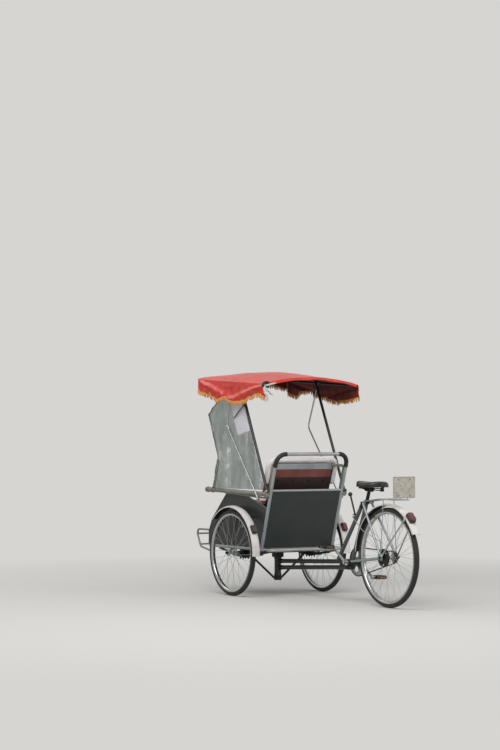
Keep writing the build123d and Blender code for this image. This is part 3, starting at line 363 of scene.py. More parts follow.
# what each kept CAD node is made of
dressing = {
    "blackFrame": "head_tube bottom_bracket twin_beams axle_braces canopy_ribs canopy_bows",
    "blackIron": "brake_cover seat_post brake_lever front_axle king_pin leaf_springs guard_brackets",
    "greenTube": "seat_tube brace_tube side_edges",
    "silverTube": "rear_stays rear_rack guard_stays body_frame push_bar panel_edge",
    "brightZinc": "canopy_struts",
    "agedRail": "back_posts arm_rails front_bumper",
    "chromeRim": "rear_wheel front_left_wheel front_right_wheel",
    "chromeWorn": "rear_axle crankset",
    "chainSteel": "chain rear_sprocket",
    "guardRear": "rear_mudguard",
    "guardFront": "front_mudguards",
    "panelPaint": "rear_panel",
    "sideShadePaint": "side_panels",
    "platePaint": "number_plate",
    "rubber": "rear_tyre front_left_tyre front_right_tyre",
    "gripRubber": "pedals grips",
    "blackMoulding": "rear_reflector front_reflectors",
    "blackVinyl": "saddle",
    "redVinyl": "backrest_cushion seat_cushion",
    "whiteVinyl": "backrest_roll",
    "boards": "luggage_floor footboard seat_box",
    "boardBack": "backrest_board",
    "canopyRed": "canopy_cloth canopy_valance",
    "curtainFilm": "side_curtain",
    "noticeSleeve": "notice_sheet",
}
for look, names in dressing.items():
    for name in names.split():
        for place in nodes[name].material_slots:
            place.material = mats[look]
print("stage: CAD nodes dressed", len(nodes))


def placeAt(spot, up=(0, 0, 1), ahead=(1, 0, 0)):
    # a frame at spot whose Z is up and whose X is ahead
    z = Vector(up).normalized()
    x = Vector(ahead) - z * z.dot(Vector(ahead))
    if x.length < 1e-5:
        x = z.orthogonal()
    x.normalize()
    place = Matrix((x, z.cross(x), z)).transposed().to_4x4()
    place.translation = Vector(spot)
    return place


def around(radius, degrees, y=0.0):
    # a point on a circle about an axle, at an angle up from the front
    a = radians(degrees)
    return Vector((radius * cos(a), y, radius * sin(a)))


def addRings(shape, rings, loop=False):
    # closed rings of equal count, each bridged to the next; the ends are capped, or joined in a loop
    verts, faces = shape
    first, n, count = len(verts), len(rings[0]), len(rings)
    for ring in rings:
        verts.extend(Vector(p) for p in ring)
    for i in range(count if loop else count - 1):
        low, high = first + i * n, first + (i + 1) % count * n
        for k in range(n):
            after = (k + 1) % n
            faces.append((low + k, low + after, high + after, high + k))
    if not loop:
        faces.append(tuple(first + k for k in reversed(range(n))))
        faces.append(tuple(first + (count - 1) * n + k for k in range(n)))


def addTube(shape, points, radius, sides, closed=False, wave=None):
    # round bar through the points; radius is one number or one for each point, wave swells it here and there
    points = [Vector(p) for p in points]
    count, across, rings = len(points), None, []
    radii = radius if isinstance(radius, (list, tuple)) else [radius] * count
    for i, spot in enumerate(points):
        after = points[(i + 1) % count] - spot if closed or i < count - 1 else spot - points[i - 1]
        before = spot - points[i - 1] if closed or i > 0 else after
        run = (after.normalized() + before.normalized()).normalized()
        across = run.orthogonal() if across is None else across - run * across.dot(run)
        across.normalize()
        side, ring = run.cross(across), []
        for k in range(sides):
            a = 2 * pi * k / sides
            ring.append(spot + (across * cos(a) + side * sin(a)) * (radii[i] + (wave(i, k) if wave else 0)))
        rings.append(ring)
    addRings(shape, rings, loop=closed)


def addLathe(shape, profile, centre, steps, closed=True, swell=None):
    # a profile of (radius, offset along the axle) turned about the axle through centre
    verts, faces = shape
    first, n = len(verts), len(profile)
    for i in range(steps):
        a = 2 * pi * i / steps
        for j, (r, y) in enumerate(profile):
            r += swell(i, j) if swell else 0
            verts.append(Vector((centre[0] + r * cos(a), centre[1] + y, centre[2] + r * sin(a))))
    for i in range(steps):
        low, high = first + i * n, first + (i + 1) % steps * n
        for j in range(n if closed else n - 1):
            after = (j + 1) % n
            faces.append((low + j, high + j, high + after, low + after))


def addPrism(shape, outline, depth, place, ease=0.0):
    # a flat outline pushed along the place's Z, with its two rims eased off
    n, rings = len(outline), []
    middle = Vector((sum(u for u, v in outline) / n, sum(v for u, v in outline) / n))
    for height, cut in [(0, ease), (ease, 0), (depth - ease, 0), (depth, ease)] if ease else [(0, 0), (depth, 0)]:
        ring = []
        for u, v in outline:
            away = Vector((u, v)) - middle
            inner = middle + away * (1 - cut / max(away.length, 1e-6))
            ring.append(place @ Vector((inner.x, inner.y, height)))
        rings.append(ring)
    addRings(shape, rings)


def ringOutline(radius, sides):
    return [(radius * cos(2 * pi * k / sides), radius * sin(2 * pi * k / sides)) for k in range(sides)]


def softBox(width, height, corner, steps=4):
    # outline of a rectangle with round corners
    out = []
    for cx, cy, start in ((1, 1, 0), (-1, 1, 90), (-1, -1, 180), (1, -1, 270)):
        for k in range(steps + 1):
            a = radians(start + 90 * k / steps)
            out.append((cx * (width / 2 - corner) + corner * cos(a), cy * (height / 2 - corner) + corner * sin(a)))
    return out


def measured(line):
    # how far along the line each of its points lies
    reach = [0]
    for a, b in zip(line, line[1:]):
        reach.append(reach[-1] + (b - a).length)
    return reach


def spaced(line, gap, cut=round):
    # the line with more points put in, about a gap apart
    out = []
    for a, b in zip(line, line[1:]):
        steps = max(1, cut((b - a).length / gap))
        out += [a.lerp(b, k / steps) for k in range(steps)]
    return out + [line[-1]]


def addBolt(shape, spot, up, across, head, washer):
    # hexagon head or nut on a round washer, with the end of its thread
    addPrism(shape, ringOutline(washer, 14), 0.0014, placeAt(spot, up), 0.0004)
    place = placeAt(Vector(spot) + Vector(up).normalized() * 0.0014, up)
    addPrism(shape, ringOutline(across / 2, 6), head, place, 0.0007)
    addPrism(shape, ringOutline(across * 0.27, 8), head + 0.003, place, 0.0006)


def makePiece(name, shape, look, body, replaces=(), crease=38, recalc=True):
    # one piece that rides on its body; crease is the angle in degrees from which its edges stay sharp
    verts, faces = shape
    mesh = bpy.data.meshes.new(name)
    mesh.from_pydata([tuple(v) for v in verts], [], faces)
    mesh.validate()
    if recalc:
        work = bmesh.new()
        work.from_mesh(mesh)
        bmesh.ops.recalc_face_normals(work, faces=work.faces)
        work.to_mesh(mesh)
        work.free()
    mesh.materials.append(mats[look])
    mesh.shade_smooth()
    if crease:
        mesh.set_sharp_from_angle(angle=radians(crease))
    piece = bpy.data.objects.new(name, mesh)
    bpy.context.scene.collection.objects.link(piece)
    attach(piece, body)
    if replaces:
        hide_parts(*replaces)
    return piece


# wheels: rolled rims, crossed spokes with nipples, flanged hubs and block-tread tyres
wheel = {"tyreRound": 0.018, "tyreSteps": 300, "grooveDepth": 0.0013, "treadPitch": 5, "rimDrop": 0.027,
         "rimSteps": 144, "spokeRadius": 0.00115, "spokeCircle": 0.0206, "spokeLean": 62, "nippleRadius": 0.0022,
         "nippleLength": 0.014, "hubInset": 0.008, "driveInset": 0.013, "valveAngle": 2.2}
# how far under the rim's edge and how far from its middle the section runs
rimSection = ((0.0068, 0), (0.0055, 0.0118), (0, 0.0128), (-0.0004, 0.0142), (0.0008, 0.0154), (0.003, 0.0152),
              (0.010, 0.0148), (0.0135, 0.0125), (0.0158, 0.0085), (0.0168, 0.004), (0.017, 0))
# name, centre, tyre radius, spokes, hub's left and right ends, body
wheelTable = [
    ("rear", axleRear, 0.330, 36, 0.038, 0.048, "rear_wheel"),
    ("front_left", axleFront + Vector((0, trackHalf, 0)), 0.305, 32, 0.040, 0.040, "front_wheel_left"),
    ("front_right", axleFront - Vector((0, trackHalf, 0)), 0.305, 32, 0.040, 0.040, "front_wheel_right"),
]


def tyreProfile(tyreRadius):
    # round section from bead to bead, in 24 steps round the outside
    thick, out = wheel["tyreRound"], []
    for k in range(25):
        a = radians(-118 + 236 * k / 24)
        out.append((tyreRadius - thick + thick * cos(a), thick * sin(a)))
    bead = tyreRadius - wheel["rimDrop"] - 0.0045
    return [(bead, -0.0118)] + out + [(bead, 0.0118)]


def treadSwell(step, j):
    # zigzag grooves round the crown and notches across the shoulders
    place = j - 13
    if abs(place) > 5:
        return 0
    zigzag = 1 if step % wheel["treadPitch"] < 2 else 0
    groove = place in (2 + zigzag, -2 - zigzag) or (abs(place) >= 4 and step % wheel["treadPitch"] == 0)
    return -wheel["grooveDepth"] if groove else 0


for name, centre, tyreRadius, spokeCount, hubLeft, hubRight, body in wheelTable:
    tyreShape = ([], [])
    addLathe(tyreShape, tyreProfile(tyreRadius), centre, wheel["tyreSteps"], swell=treadSwell)
    makePiece(name + "TreadTyre", tyreShape, "rubber", body, [name + "_tyre"], crease=30)
    edge = tyreRadius - wheel["rimDrop"]
    halfRim = [(edge - drop, y) for drop, y in rimSection]
    rimShape = ([], [])
    addLathe(rimShape, halfRim + [(r, -y) for r, y in reversed(halfRim[1:-1])], centre, wheel["rimSteps"])
    makePiece(name + "Rim", rimShape, "chromeRim", body, crease=50)
    left, right = hubLeft - wheel["hubInset"], wheel["driveInset"] - hubRight
    hubProfile = [
        (0.0062, -hubRight), (0.0105, -hubRight), (0.0105, -hubRight + 0.004), (0.0140, -hubRight + 0.006),
        (0.0145, right - 0.005), (0.0225, right - 0.0022), (0.0242, right - 0.0012), (0.0242, right + 0.0012),
        (0.0225, right + 0.002), (0.0135, right + 0.006), (0.0120, right + 0.014), (0.0118, 0),
        (0.0120, left - 0.014), (0.0135, left - 0.006), (0.0225, left - 0.002), (0.0242, left - 0.0012),
        (0.0242, left + 0.0012), (0.0225, left + 0.0022), (0.0145, left + 0.004), (0.0140, hubLeft - 0.005),
        (0.0105, hubLeft - 0.004), (0.0105, hubLeft), (0.0062, hubLeft)]
    hubShape = ([], [])
    addLathe(hubShape, hubProfile, centre, 40)
    addLathe(hubShape, [(0.0122, -0.006), (0.0138, -0.004), (0.0138, 0.004), (0.0122, 0.006)], centre, 32)  # oil clip
    makePiece(name + "Hub", hubShape, "chromeWorn", body)
    spokeShape = ([], [])
    for index in range(spokeCount):
        side = 1 if index % 2 else -1
        lean = 1 if index % 4 < 2 else -1
        angle = 360 * index / spokeCount
        footY = (left if side == 1 else right) + lean * 0.0016
        foot = centre + around(wheel["spokeCircle"], angle + lean * wheel["spokeLean"], footY)
        head = centre + around(edge - 0.0165, angle, side * 0.003)
        run = (head - foot).normalized()
        through = Vector((0, lean, 0))
        addTube(spokeShape, [foot - through * 0.0036, foot, foot + run * 0.003, head - run * 0.012],
                wheel["spokeRadius"], 6)
        addTube(spokeShape, [foot - through * 0.0052, foot - through * 0.0036], 0.0022, 6)
        nippleFoot = head - run * wheel["nippleLength"]
        wide = wheel["nippleRadius"]
        addTube(spokeShape, [nippleFoot, nippleFoot + run * 0.002, head + run * 0.001], [0.0016, wide, wide], 6)
    stemWay = Vector((cos(wheel["valveAngle"]), 0, sin(wheel["valveAngle"])))  # valve stem and its cap
    addTube(spokeShape, [centre + stemWay * (edge - 0.017), centre + stemWay * (edge - 0.046)], 0.0027, 8)
    addTube(spokeShape, [centre + stemWay * (edge - 0.044), centre + stemWay * (edge - 0.052)], [0.0036, 0.0030], 8)
    makePiece(name + "Spokes", spokeShape, "spokeWire", body, [name + "_wheel"])
print("stage: wheels")

# chain of real pitch round the chainring and the sprocket
drive = {"pitch": 0.0127, "line": -0.046, "ringTeeth": 48, "sprocketTeeth": 18, "plate": 0.0011, "roller": 0.0039}
ringRadius = drive["pitch"] / (2 * sin(pi / drive["ringTeeth"]))
sprocketRadius = drive["pitch"] / (2 * sin(pi / drive["sprocketTeeth"]))


def chainPath():
    # points one pitch apart round the two pitch circles and their outer tangents
    gap = crankSpot - axleRear
    tilt, reach = atan2(gap.z, gap.x), sqrt(gap.x ** 2 + gap.z ** 2)
    wrap = acos((sprocketRadius - ringRadius) / reach)
    dense = []
    for k in range(201):
        a = wrap + (2 * pi - 2 * wrap) * k / 200
        dense.append((sprocketRadius * cos(a), sprocketRadius * sin(a)))
    for k in range(601):
        a = -wrap + 2 * wrap * k / 600
        dense.append((reach + ringRadius * cos(a), ringRadius * sin(a)))
    dense = [Vector(p) for p in dense + dense[:1]]
    lengths = measured(dense)
    count, out, k = round(lengths[-1] / drive["pitch"] / 2) * 2, [], 0
    for i in range(count):
        goal = lengths[-1] * i / count
        while lengths[k + 1] < goal:
            k += 1
        flat = dense[k].lerp(dense[k + 1], (goal - lengths[k]) / max(lengths[k + 1] - lengths[k], 1e-9))
        along, up = flat.x * cos(tilt) - flat.y * sin(tilt), flat.x * sin(tilt) + flat.y * cos(tilt)
        out.append(axleRear + Vector((along, drive["line"], up)))
    return out


pins = chainPath()
chainShape = ([], [])
for i, spot in enumerate(pins):
    after = pins[(i + 1) % len(pins)]
    run, pitch = (after - spot).normalized(), (after - spot).length
    # waisted side plate: two round ends and the narrow middle between them
    sweeps = ((pitch, 0.0042, (-60, -20, 20, 60)), (pitch / 2, 0.0029, (90,)),
              (0, 0.0042, (120, 160, 200, 240)), (pitch / 2, 0.0029, (270,)))
    outline = [(r * cos(radians(a)) + x, r * sin(radians(a))) for x, r, sweep in sweeps for a in sweep]
    for side in (-1, 1):
        offset = side * (0.0034 if i % 2 else 0.0022) - drive["plate"] / 2
        addPrism(chainShape, outline, drive["plate"], placeAt(spot + Vector((0, offset, 0)), (0, 1, 0), run))
    addPrism(chainShape, ringOutline(drive["roller"], 8), 0.0040, placeAt(spot - Vector((0, 0.0020, 0)), (0, 1, 0)))
    addPrism(chainShape, ringOutline(0.0017, 6), 0.0088, placeAt(spot - Vector((0, 0.0044, 0)), (0, 1, 0)))
makePiece("rollerChain", chainShape, "chainSteel", "rear_frame", ["chain"])


def addToothRing(shape, centre, pitchRadius, teeth, inner, thick):
    # flat ring whose teeth stand up between the rollers
    steps = ((0.00, -0.0040), (0.18, -0.0032), (0.34, 0.0010), (0.44, 0.0030), (0.56, 0.0030), (0.66, 0.0010),
             (0.82, -0.0032))
    rim = [(pitchRadius + lift, 360 * (t + part) / teeth) for t in range(teeth) for part, lift in steps]
    addRings(shape, [[centre + around(radius, a, y) for radius, y in
                      ((r, -thick / 2), (r, thick / 2), (inner, thick / 2), (inner, -thick / 2))] for r, a in rim],
                      loop=True)


ringShape = ([], [])
ringCentre = crankSpot + Vector((0, drive["line"], 0))
addToothRing(ringShape, ringCentre, ringRadius, drive["ringTeeth"], 0.0795, 0.0022)
for k in range(5):  # chainring bolts
    addBolt(ringShape, ringCentre + around(0.0815, 36 + 72 * k, -0.0011), (0, -1, 0), 0.010, 0.003, 0.0065)
makePiece("chainringTeeth", ringShape, "chromeWorn", "cranks")
sprocketShape = ([], [])
addToothRing(sprocketShape, axleRear + Vector((0, drive["line"], 0)), sprocketRadius, drive["sprocketTeeth"], 0.0142,
             0.0022)
makePiece("sprocketTeeth", sprocketShape, "chainSteel", "rear_wheel", ["rear_sprocket"])

# cranks: cotter pins, dust caps and block pedals
pedal = {"reach": 0.165, "out": 0.124, "angle": 37, "ribs": 6, "ribGap": 0.0122, "ribWide": 0.0062}
crankShape, pedalShape, pedalSteel, amberShape = ([], []), ([], []), ([], []), ([], [])
for side in (-1, 1):
    lean = around(1, pedal["angle"]) * side
    upright = Vector((-lean.z, 0, lean.x))
    boss = crankSpot + Vector((0, side * 0.062, 0))
    addTube(crankShape, [boss + upright * 0.017 + lean * 0.009, boss - upright * 0.019 + lean * 0.009], 0.0042, 10)
    addBolt(crankShape, boss - upright * 0.015 + lean * 0.009, -upright, 0.010, 0.005, 0.006)
    dustCap = [(0.0, side * 0.0768), (0.008, side * 0.0765), (0.0108, side * 0.0745), (0.0112, side * 0.0725),
               (0.0, side * 0.072)]
    addLathe(crankShape, dustCap, crankSpot, 24, closed=False)
    middle = crankSpot + lean * pedal["reach"] + Vector((0, side * pedal["out"], 0))
    barrel = [(0.0055, -0.038), (0.0115, -0.037), (0.0125, -0.030), (0.009, -0.022), (0.009, 0.024), (0.012, 0.031),
              (0.012, 0.037), (0.0055, 0.038)]
    addLathe(pedalSteel, barrel, middle, 20)
    for end in (-1, 1):  # end plates of the cage
        place = placeAt(middle + Vector((0, end * 0.0369 - 0.0011, 0)), (0, 1, 0))
        addPrism(pedalSteel, softBox(0.084, 0.020, 0.008), 0.0022, place, 0.0004)
    for fore in (-1, 1):  # rubber blocks, each with its ribs
        place = placeAt(middle + Vector((fore * 0.0265, -0.035, 0)), (0, 1, 0))
        addPrism(pedalShape, softBox(0.0255, 0.020, 0.004), 0.0700, place, 0.001)
        for rib in range(pedal["ribs"]):
            y = -0.0305 + pedal["ribGap"] * rib
            place = placeAt(middle + Vector((fore * 0.0262, y - 0.0031, 0)), (0, 1, 0))
            addPrism(pedalShape, softBox(0.0290, 0.0245, 0.004), pedal["ribWide"], place, 0.0008)
        place = placeAt(middle + Vector((fore * 0.0405, 0, 0)), (fore, 0, 0), (0, 1, 0))
        addPrism(amberShape, softBox(0.046, 0.009, 0.002), 0.0014, place, 0.0003)
makePiece("cotterPins", crankShape, "brightZinc", "cranks")
makePiece("pedalCage", pedalSteel, "blackIron", "cranks")
makePiece("pedalBlocks", pedalShape, "gripRubber", "cranks", ["pedals"])
makePiece("pedalReflectors", amberShape, "amberLens", "cranks")
print("stage: drive")


def bendPath(points, bend, step=6):
    # the points with each inner corner rounded to a radius
    points, out = [Vector(p) for p in points], [Vector(points[0])]
    for before, corner, after in zip(points, points[1:], points[2:]):
        a, b = (before - corner).normalized(), (after - corner).normalized()
        half = a.angle(b) / 2
        start, end = corner + a * bend / tan(half), corner + b * bend / tan(half)
        middle = corner + (a + b).normalized() * bend / sin(half)
        for k in range(step + 1):
            way = (start - middle).lerp(end - middle, k / step)
            out.append(middle + way.normalized() * bend)
    return out + [points[-1]]


# saddle: padded top on a moulded base, over two coil springs
saddleSize = {"tail": -0.825, "nose": -0.538, "base": 0.7905, "top": 0.8335, "waist": 0.10, "dip": 0.007}


def saddleHalf(x):
    # half width of the saddle along its length
    along = x - axleRear.x
    if along < 0.211:
        return sqrt(max(0.098 ** 2 - (along - 0.168) ** 2, 1e-6))
    if along < 0.3418:
        t = (along - 0.211) / 0.1308
        return (0.088 + (0.0243 - 0.088) * t) * (1 - saddleSize["waist"] * sin(pi * t))
    return sqrt(max(0.027 ** 2 - (along - 0.330) ** 2, 1e-6))


# left half of the cross-section: share of the half width, share of the height
saddleSection = [(-0.80, 0.0), (-0.97, 0.03), (-1.0, 0.30), (-0.965, 0.62), (-0.86, 0.82), (-0.66, 0.93),
                 (-0.38, 0.99)]
saddleRings = []
for i in range(29):
    t = (1 - cos(pi * i / 28)) / 2
    x = saddleSize["tail"] + 0.0008 + (saddleSize["nose"] - saddleSize["tail"] - 0.0016) * t
    half = max(saddleHalf(x), 0.006)
    dip = saddleSize["dip"] * sin(pi * min(1, t * 1.15)) + 0.004 * t
    rise = saddleSize["top"] - dip - 0.010 * (1 - min(1, half / 0.02)) - 0.006 * exp(-(t / 0.06) ** 2)
    section = []
    for u, v in saddleSection + [(0, 1.0)] + [(-u, v) for u, v in reversed(saddleSection)]:
        section.append((x, u * half, saddleSize["base"] + (rise - saddleSize["base"]) * v))
    saddleRings.append(section)
saddleShape = ([], [])
addRings(saddleShape, saddleRings)
saddle = makePiece("saddleTop", saddleShape, "blackVinyl", "rear_frame", ["saddle"], crease=0)
saddle.modifiers.new("Rounded", "SUBSURF").render_levels = 1
saddleTrim = ([], [])
for edge in (1, 13):  # welt along the lower edge
    rim = [(r[edge][0], r[edge][1] * 1.02, saddleSize["base"] + 0.002) for r in saddleRings[1:-1]]
    addTube(saddleTrim, rim, 0.0021, 8)
makePiece("saddleWelt", saddleTrim, "blackMoulding", "rear_frame")
spring = {"coil": 0.0128, "wire": 0.0020, "height": 0.0262, "turns": 4, "apart": 0.042, "foot": 0.7625}
springShape = ([], [])
for side in (-1, 1):
    foot = Vector((axleRear.x + 0.134, side * spring["apart"], spring["foot"]))
    coil, count = [], 24 * spring["turns"]
    for k in range(count + 1):
        a = 2 * pi * k / 24
        coil.append(foot + Vector((spring["coil"] * cos(a), spring["coil"] * sin(a), spring["height"] * k / count)))
    addTube(springShape, coil, spring["wire"], 8)
    addPrism(springShape, ringOutline(0.015, 24), 0.0018, placeAt(foot + Vector((0, 0, -0.0010))), 0.0003)
    addTube(springShape, [foot, foot + Vector((0, 0, 0.026))], 0.004, 10)
    back = Vector((axleRear.x + 0.128, side * spring["apart"], 0.780))
    fore = Vector((axleRear.x + 0.318, side * 0.012, 0.784))
    for drop in (0, -0.012):  # twin wires of the carriage
        wire = [back.lerp(fore, t) + Vector((0, 0, drop * share))
                for t, share in ((0, 1), (0.35, 1), (0.65, 0.5), (1, 0))]
        addTube(springShape, wire, 0.0034, 8)
postTop = Vector((axleRear.x + 0.222, 0, 0.772))
clamp = postTop + Vector((0, 0, 0.004))
addTube(springShape, [clusterSpot + Vector((-0.004, 0, 0.012)), postTop], 0.0120, 24)
addTube(springShape, [clamp - Vector((0, 0.030, 0)), clamp + Vector((0, 0.030, 0))], 0.0105, 20)
for side in (-1, 1):
    addTube(springShape, [clamp + Vector((0, side * 0.022, 0)), clamp + Vector((0, side * 0.030, 0))], 0.0135, 20)
    addBolt(springShape, clamp + Vector((0, side * 0.030, 0)), (0, side, 0), 0.013, 0.007, 0.010)
addPrism(springShape, softBox(0.034, 0.030, 0.008), 0.011, placeAt((axleRear.x + 0.318, 0, 0.7785)), 0.001)
makePiece("saddleSprings", springShape, "blackIron", "rear_frame", ["seat_post"])
print("stage: saddle")

# brake: knob, lever pivot, pull rod and band arm
brake = {"knob": 0.0152, "rod": 0.0028, "upBrace": 0.24}
leverFoot = Vector((-0.586, 0, 0.665)).lerp(Vector((-0.289, 0, 0.275)), brake["upBrace"])
leverTop = leverFoot + Vector((0.070, 0, 0.165))
knobRings = []
for k in range(13):
    a = pi * k / 12
    wide = max(brake["knob"] * sin(a), 0.001)
    fall = brake["knob"] * cos(a)
    knobRings.append([leverTop + Vector((u, v, -fall)) for u, v in ringOutline(wide, 20)])
knobShape, brakeShape = ([], []), ([], [])
addRings(knobShape, knobRings)
makePiece("leverKnob", knobShape, "blackMoulding", "rear_frame")
pivot = leverFoot + Vector((0.008, 0, 0.018))
for side in (-1, 1):
    addBolt(brakeShape, pivot + Vector((0, side * 0.015, 0)), (0, side, 0), 0.016, 0.006, 0.012)
armTop = axleRear + Vector((0.020, 0.0535, 0.105))
addTube(brakeShape, bendPath([pivot + Vector((-0.004, 0.026, -0.006)), Vector((-0.660, 0.047, 0.500)), armTop], 0.05),
        brake["rod"], 8)
addTube(brakeShape, [axleRear + Vector((0.012, 0.0515, 0.045)), armTop + Vector((0.002, -0.001, 0.010))],
        [0.0062, 0.0045], 8)
addBolt(brakeShape, armTop + Vector((0, 0.001, 0)), (0, 1, 0), 0.010, 0.004, 0.006)
for k in range(3):  # cover screws
    addBolt(brakeShape, axleRear + around(0.048, 20 + 120 * k, 0.0475), (0, 1, 0), 0.008, 0.003, 0.006)
makePiece("brakeRod", brakeShape, "brightZinc", "rear_frame")

# rear frame fittings: brazed sleeves, bracket cups, clamp bolts
sleeve = {"radius": 0.0172, "long": 0.034, "taper": 0.010, "cup": 0.0200, "cupThick": 0.0045, "bridge": 0.0145}
frameShape = ([], [])
for rise, frontHeight in ((0.003, 0.234), (-0.036, 0.188)):  # the two beams
    start, end = crankSpot + Vector((0, 0, rise)), Vector((axleFront.x, 0, frontHeight))
    run = (end - start).normalized()
    for spot, way in ((start + run * 0.022, 1), (end - run * 0.028, -1)):
        line = [spot, spot + run * way * sleeve["long"], spot + run * way * (sleeve["long"] + sleeve["taper"])]
        addTube(frameShape, line, [sleeve["radius"], sleeve["radius"] - 0.0004, sleeve["radius"] - 0.0020], 20)
for side in (-1, 1):
    cup = placeAt(crankSpot + Vector((0, side * 0.035 - 0.0022, 0)), (0, 1, 0))
    addPrism(frameShape, ringOutline(sleeve["cup"], 8), sleeve["cupThick"], cup, 0.0008)
collar = [clusterSpot + Vector((-0.002, 0, -0.012)), clusterSpot + Vector((-0.004, 0, 0.014))]
addTube(frameShape, collar, sleeve["radius"], 20)
addBolt(frameShape, clusterSpot + Vector((-0.018, 0.010, 0.004)), (0, 1, 0), 0.011, 0.007, 0.007)
for side in (-1, 1):  # ears that hold the bright stays
    addBolt(frameShape, clusterSpot + Vector((-0.003, side * 0.0435, -0.004)), (0, side, 0), 0.013, 0.006, 0.009)
    addBolt(frameShape, axleRear + Vector((0, side * 0.0750, 0)), (0, side, 0), 0.017, 0.007, 0.012)
bridge = [(-0.584, 0, 0.660), (-0.594, 0, 0.672), (-0.610, 0, 0.680), (-0.630, 0, 0.683), (-0.648, 0, 0.683)]
# joins the brace to the seat tube
addTube(frameShape, bridge, [sleeve["bridge"] + more for more in (0, 0.0005, 0, -0.0005, -0.0005)], 20)
addTube(frameShape, [(-0.577, 0, 0.652), (-0.589, 0, 0.667)], 0.0160, 20)
makePiece("frameFittings", frameShape, "blackIron", "rear_frame")

# number plate on its bracket, blank
plate = {"wide": 0.176, "tall": 0.140, "thick": 0.0016, "bead": 0.0013, "boltAcross": 0.045, "boltUp": 0.052}
plateShape, plateTrim = ([], []), ([], [])
plateFace = placeAt((-1.0692, 0, 0.796), (-1, 0, 0), (0, 1, 0))
addPrism(plateShape, softBox(plate["wide"], plate["tall"], 0.009), plate["thick"], plateFace, 0.0003)
rimOutline = softBox(plate["wide"] - 0.0045, plate["tall"] - 0.0045, 0.008)
addTube(plateShape, [plateFace @ Vector((u, v, 0.0017)) for u, v in rimOutline], plate["bead"], 8, closed=True)
for v in (plate["boltUp"], -plate["boltUp"]):
    for u in (-plate["boltAcross"], plate["boltAcross"]):
        addBolt(plateTrim, plateFace @ Vector((u, v, plate["thick"])), (-1, 0, 0), 0.008, 0.003, 0.006)
makePiece("plateFace", plateShape, "platePaint", "rear_frame", ["number_plate"])
makePiece("plateBolts", plateTrim, "chromeWorn", "rear_frame")

# reflectors on the guards: housing, bezel and a pressed lens
rearReflector = {"radius": 0.3542, "angle": 133, "wide": 0.044, "tall": 0.076, "housing": 0.020, "lens": 0.018}
frontReflector = {"radius": 0.3322, "angle": 149, "wide": 0.040, "tall": 0.064, "housing": 0.018, "lens": 0.012}
acrossTrack = Vector((0, trackHalf, 0))
reflectorTable = [
    ("rear", axleRear, rearReflector, "rear_frame", "rear_reflector", "redLens"),
    ("frontLeft", axleFront + acrossTrack, frontReflector, "carriage", "front_reflectors", "greyLens"),
    ("frontRight", axleFront - acrossTrack, frontReflector, "carriage", "front_reflectors", "redLens"),
]
for name, centre, sizes, body, node, look in reflectorTable:
    radius, angle, wide, tall, housing, lens = sizes.values()
    outward = around(1, angle)
    place = placeAt(centre + outward * radius, outward, (0, 1, 0))
    housingShape, lensShape = ([], []), ([], [])
    addPrism(housingShape, softBox(wide, tall, 0.009), housing, place, 0.0025)
    bezel = [place @ Vector((u, v, housing - 0.0012)) for u, v in softBox(wide - 0.003, tall - 0.003, 0.008)]
    addTube(housingShape, bezel, 0.0018, 8, closed=True)
    makePiece(name + "ReflectorBody", housingShape, "blackMoulding", body, [node])
    lensPlace = placeAt(centre + outward * (radius + housing - 0.002), outward, (0, 1, 0))
    addPrism(lensShape, softBox(wide - 0.005, tall - 0.008, 0.008), lens, lensPlace, 0.0045)
    makePiece(name + "ReflectorLens", lensShape, look, body)
print("stage: rear fittings")


def addGrid(shape, rows):
    # rows of equal count joined into one open sheet
    verts, faces = shape
    first, n = len(verts), len(rows[0])
    for row in rows:
        verts.extend(Vector(p) for p in row)
    for i in range(len(rows) - 1):
        for j in range(n - 1):
            low = first + i * n + j
            faces.append((low, low + 1, low + n + 1, low + n))


def readLine(table, x):
    # eased reading of a table of (x, value)
    if x <= table[0][0]:
        return table[0][1]
    for (xa, a), (xb, b) in zip(table, table[1:]):
        if x <= xb:
            t = (x - xa) / (xb - xa)
            return a + (b - a) * t * t * (3 - 2 * t)
    return table[-1][1]


def thicken(piece, thick, innerShadeLook=None):
    # a second face for the sheet; where a second look is given, the inner face takes it, a darker cloth as painted
    # shade
    solid = piece.modifiers.new("Thickness", "SOLIDIFY")
    solid.thickness, solid.offset = thick, 1.0
    if innerShadeLook:
        piece.data.materials.append(mats[innerShadeLook])
        solid.material_offset = 1


# canopy: one sheet over the ribs, with its side curtains, front flap and rear fold in the same cloth
canopy = {"rear": 0.023, "front": 0.970, "railY": 0.378, "bend": 0.0089, "ridge": 0.023, "frontFlap": 0.062,
          "rearFold": 0.020, "fringe": 0.031, "strandGap": 0.0027, "thick": 0.0011, "crease": 0.0042,
          "hemWave": 0.0065, "hemPitch": 0.088, "slices": 160, "hemSteps": 24, "railSteps": 4, "roofSteps": 56}
ribCrown = [(0.023, 0.045), (0.045, 0.046), (0.486, 0.064), (0.743, 0.052), (0.948, 0.027), (0.970, 0.025)]
leftHem = [(0.023, 1.400), (0.040, 1.404), (0.090, 1.424), (0.153, 1.424), (0.225, 1.406), (0.320, 1.383),
           (0.417, 1.376), (0.501, 1.388), (0.561, 1.413), (0.628, 1.408), (0.685, 1.394), (0.758, 1.421),
           (0.794, 1.451), (0.816, 1.433), (0.867, 1.448), (0.919, 1.453), (0.956, 1.480), (0.970, 1.484)]
rightDrop = [(0.023, 0.080), (0.10, 0.098), (0.20, 0.112), (0.30, 0.122), (0.40, 0.115), (0.50, 0.100), (0.60, 0.088),
             (0.68, 0.064), (0.78, 0.072), (0.86, 0.108), (0.92, 0.100), (0.970, 0.088)]


def railHeight(x):
    # the roof rail climbs a little to the front
    return 1.490 + (x - 0.033) * 0.058 / 0.927


def hangDepth(x, side):
    # how far the side curtain hangs below the rail
    return railHeight(x) - readLine(leftHem, x) if side > 0 else readLine(rightDrop, x)


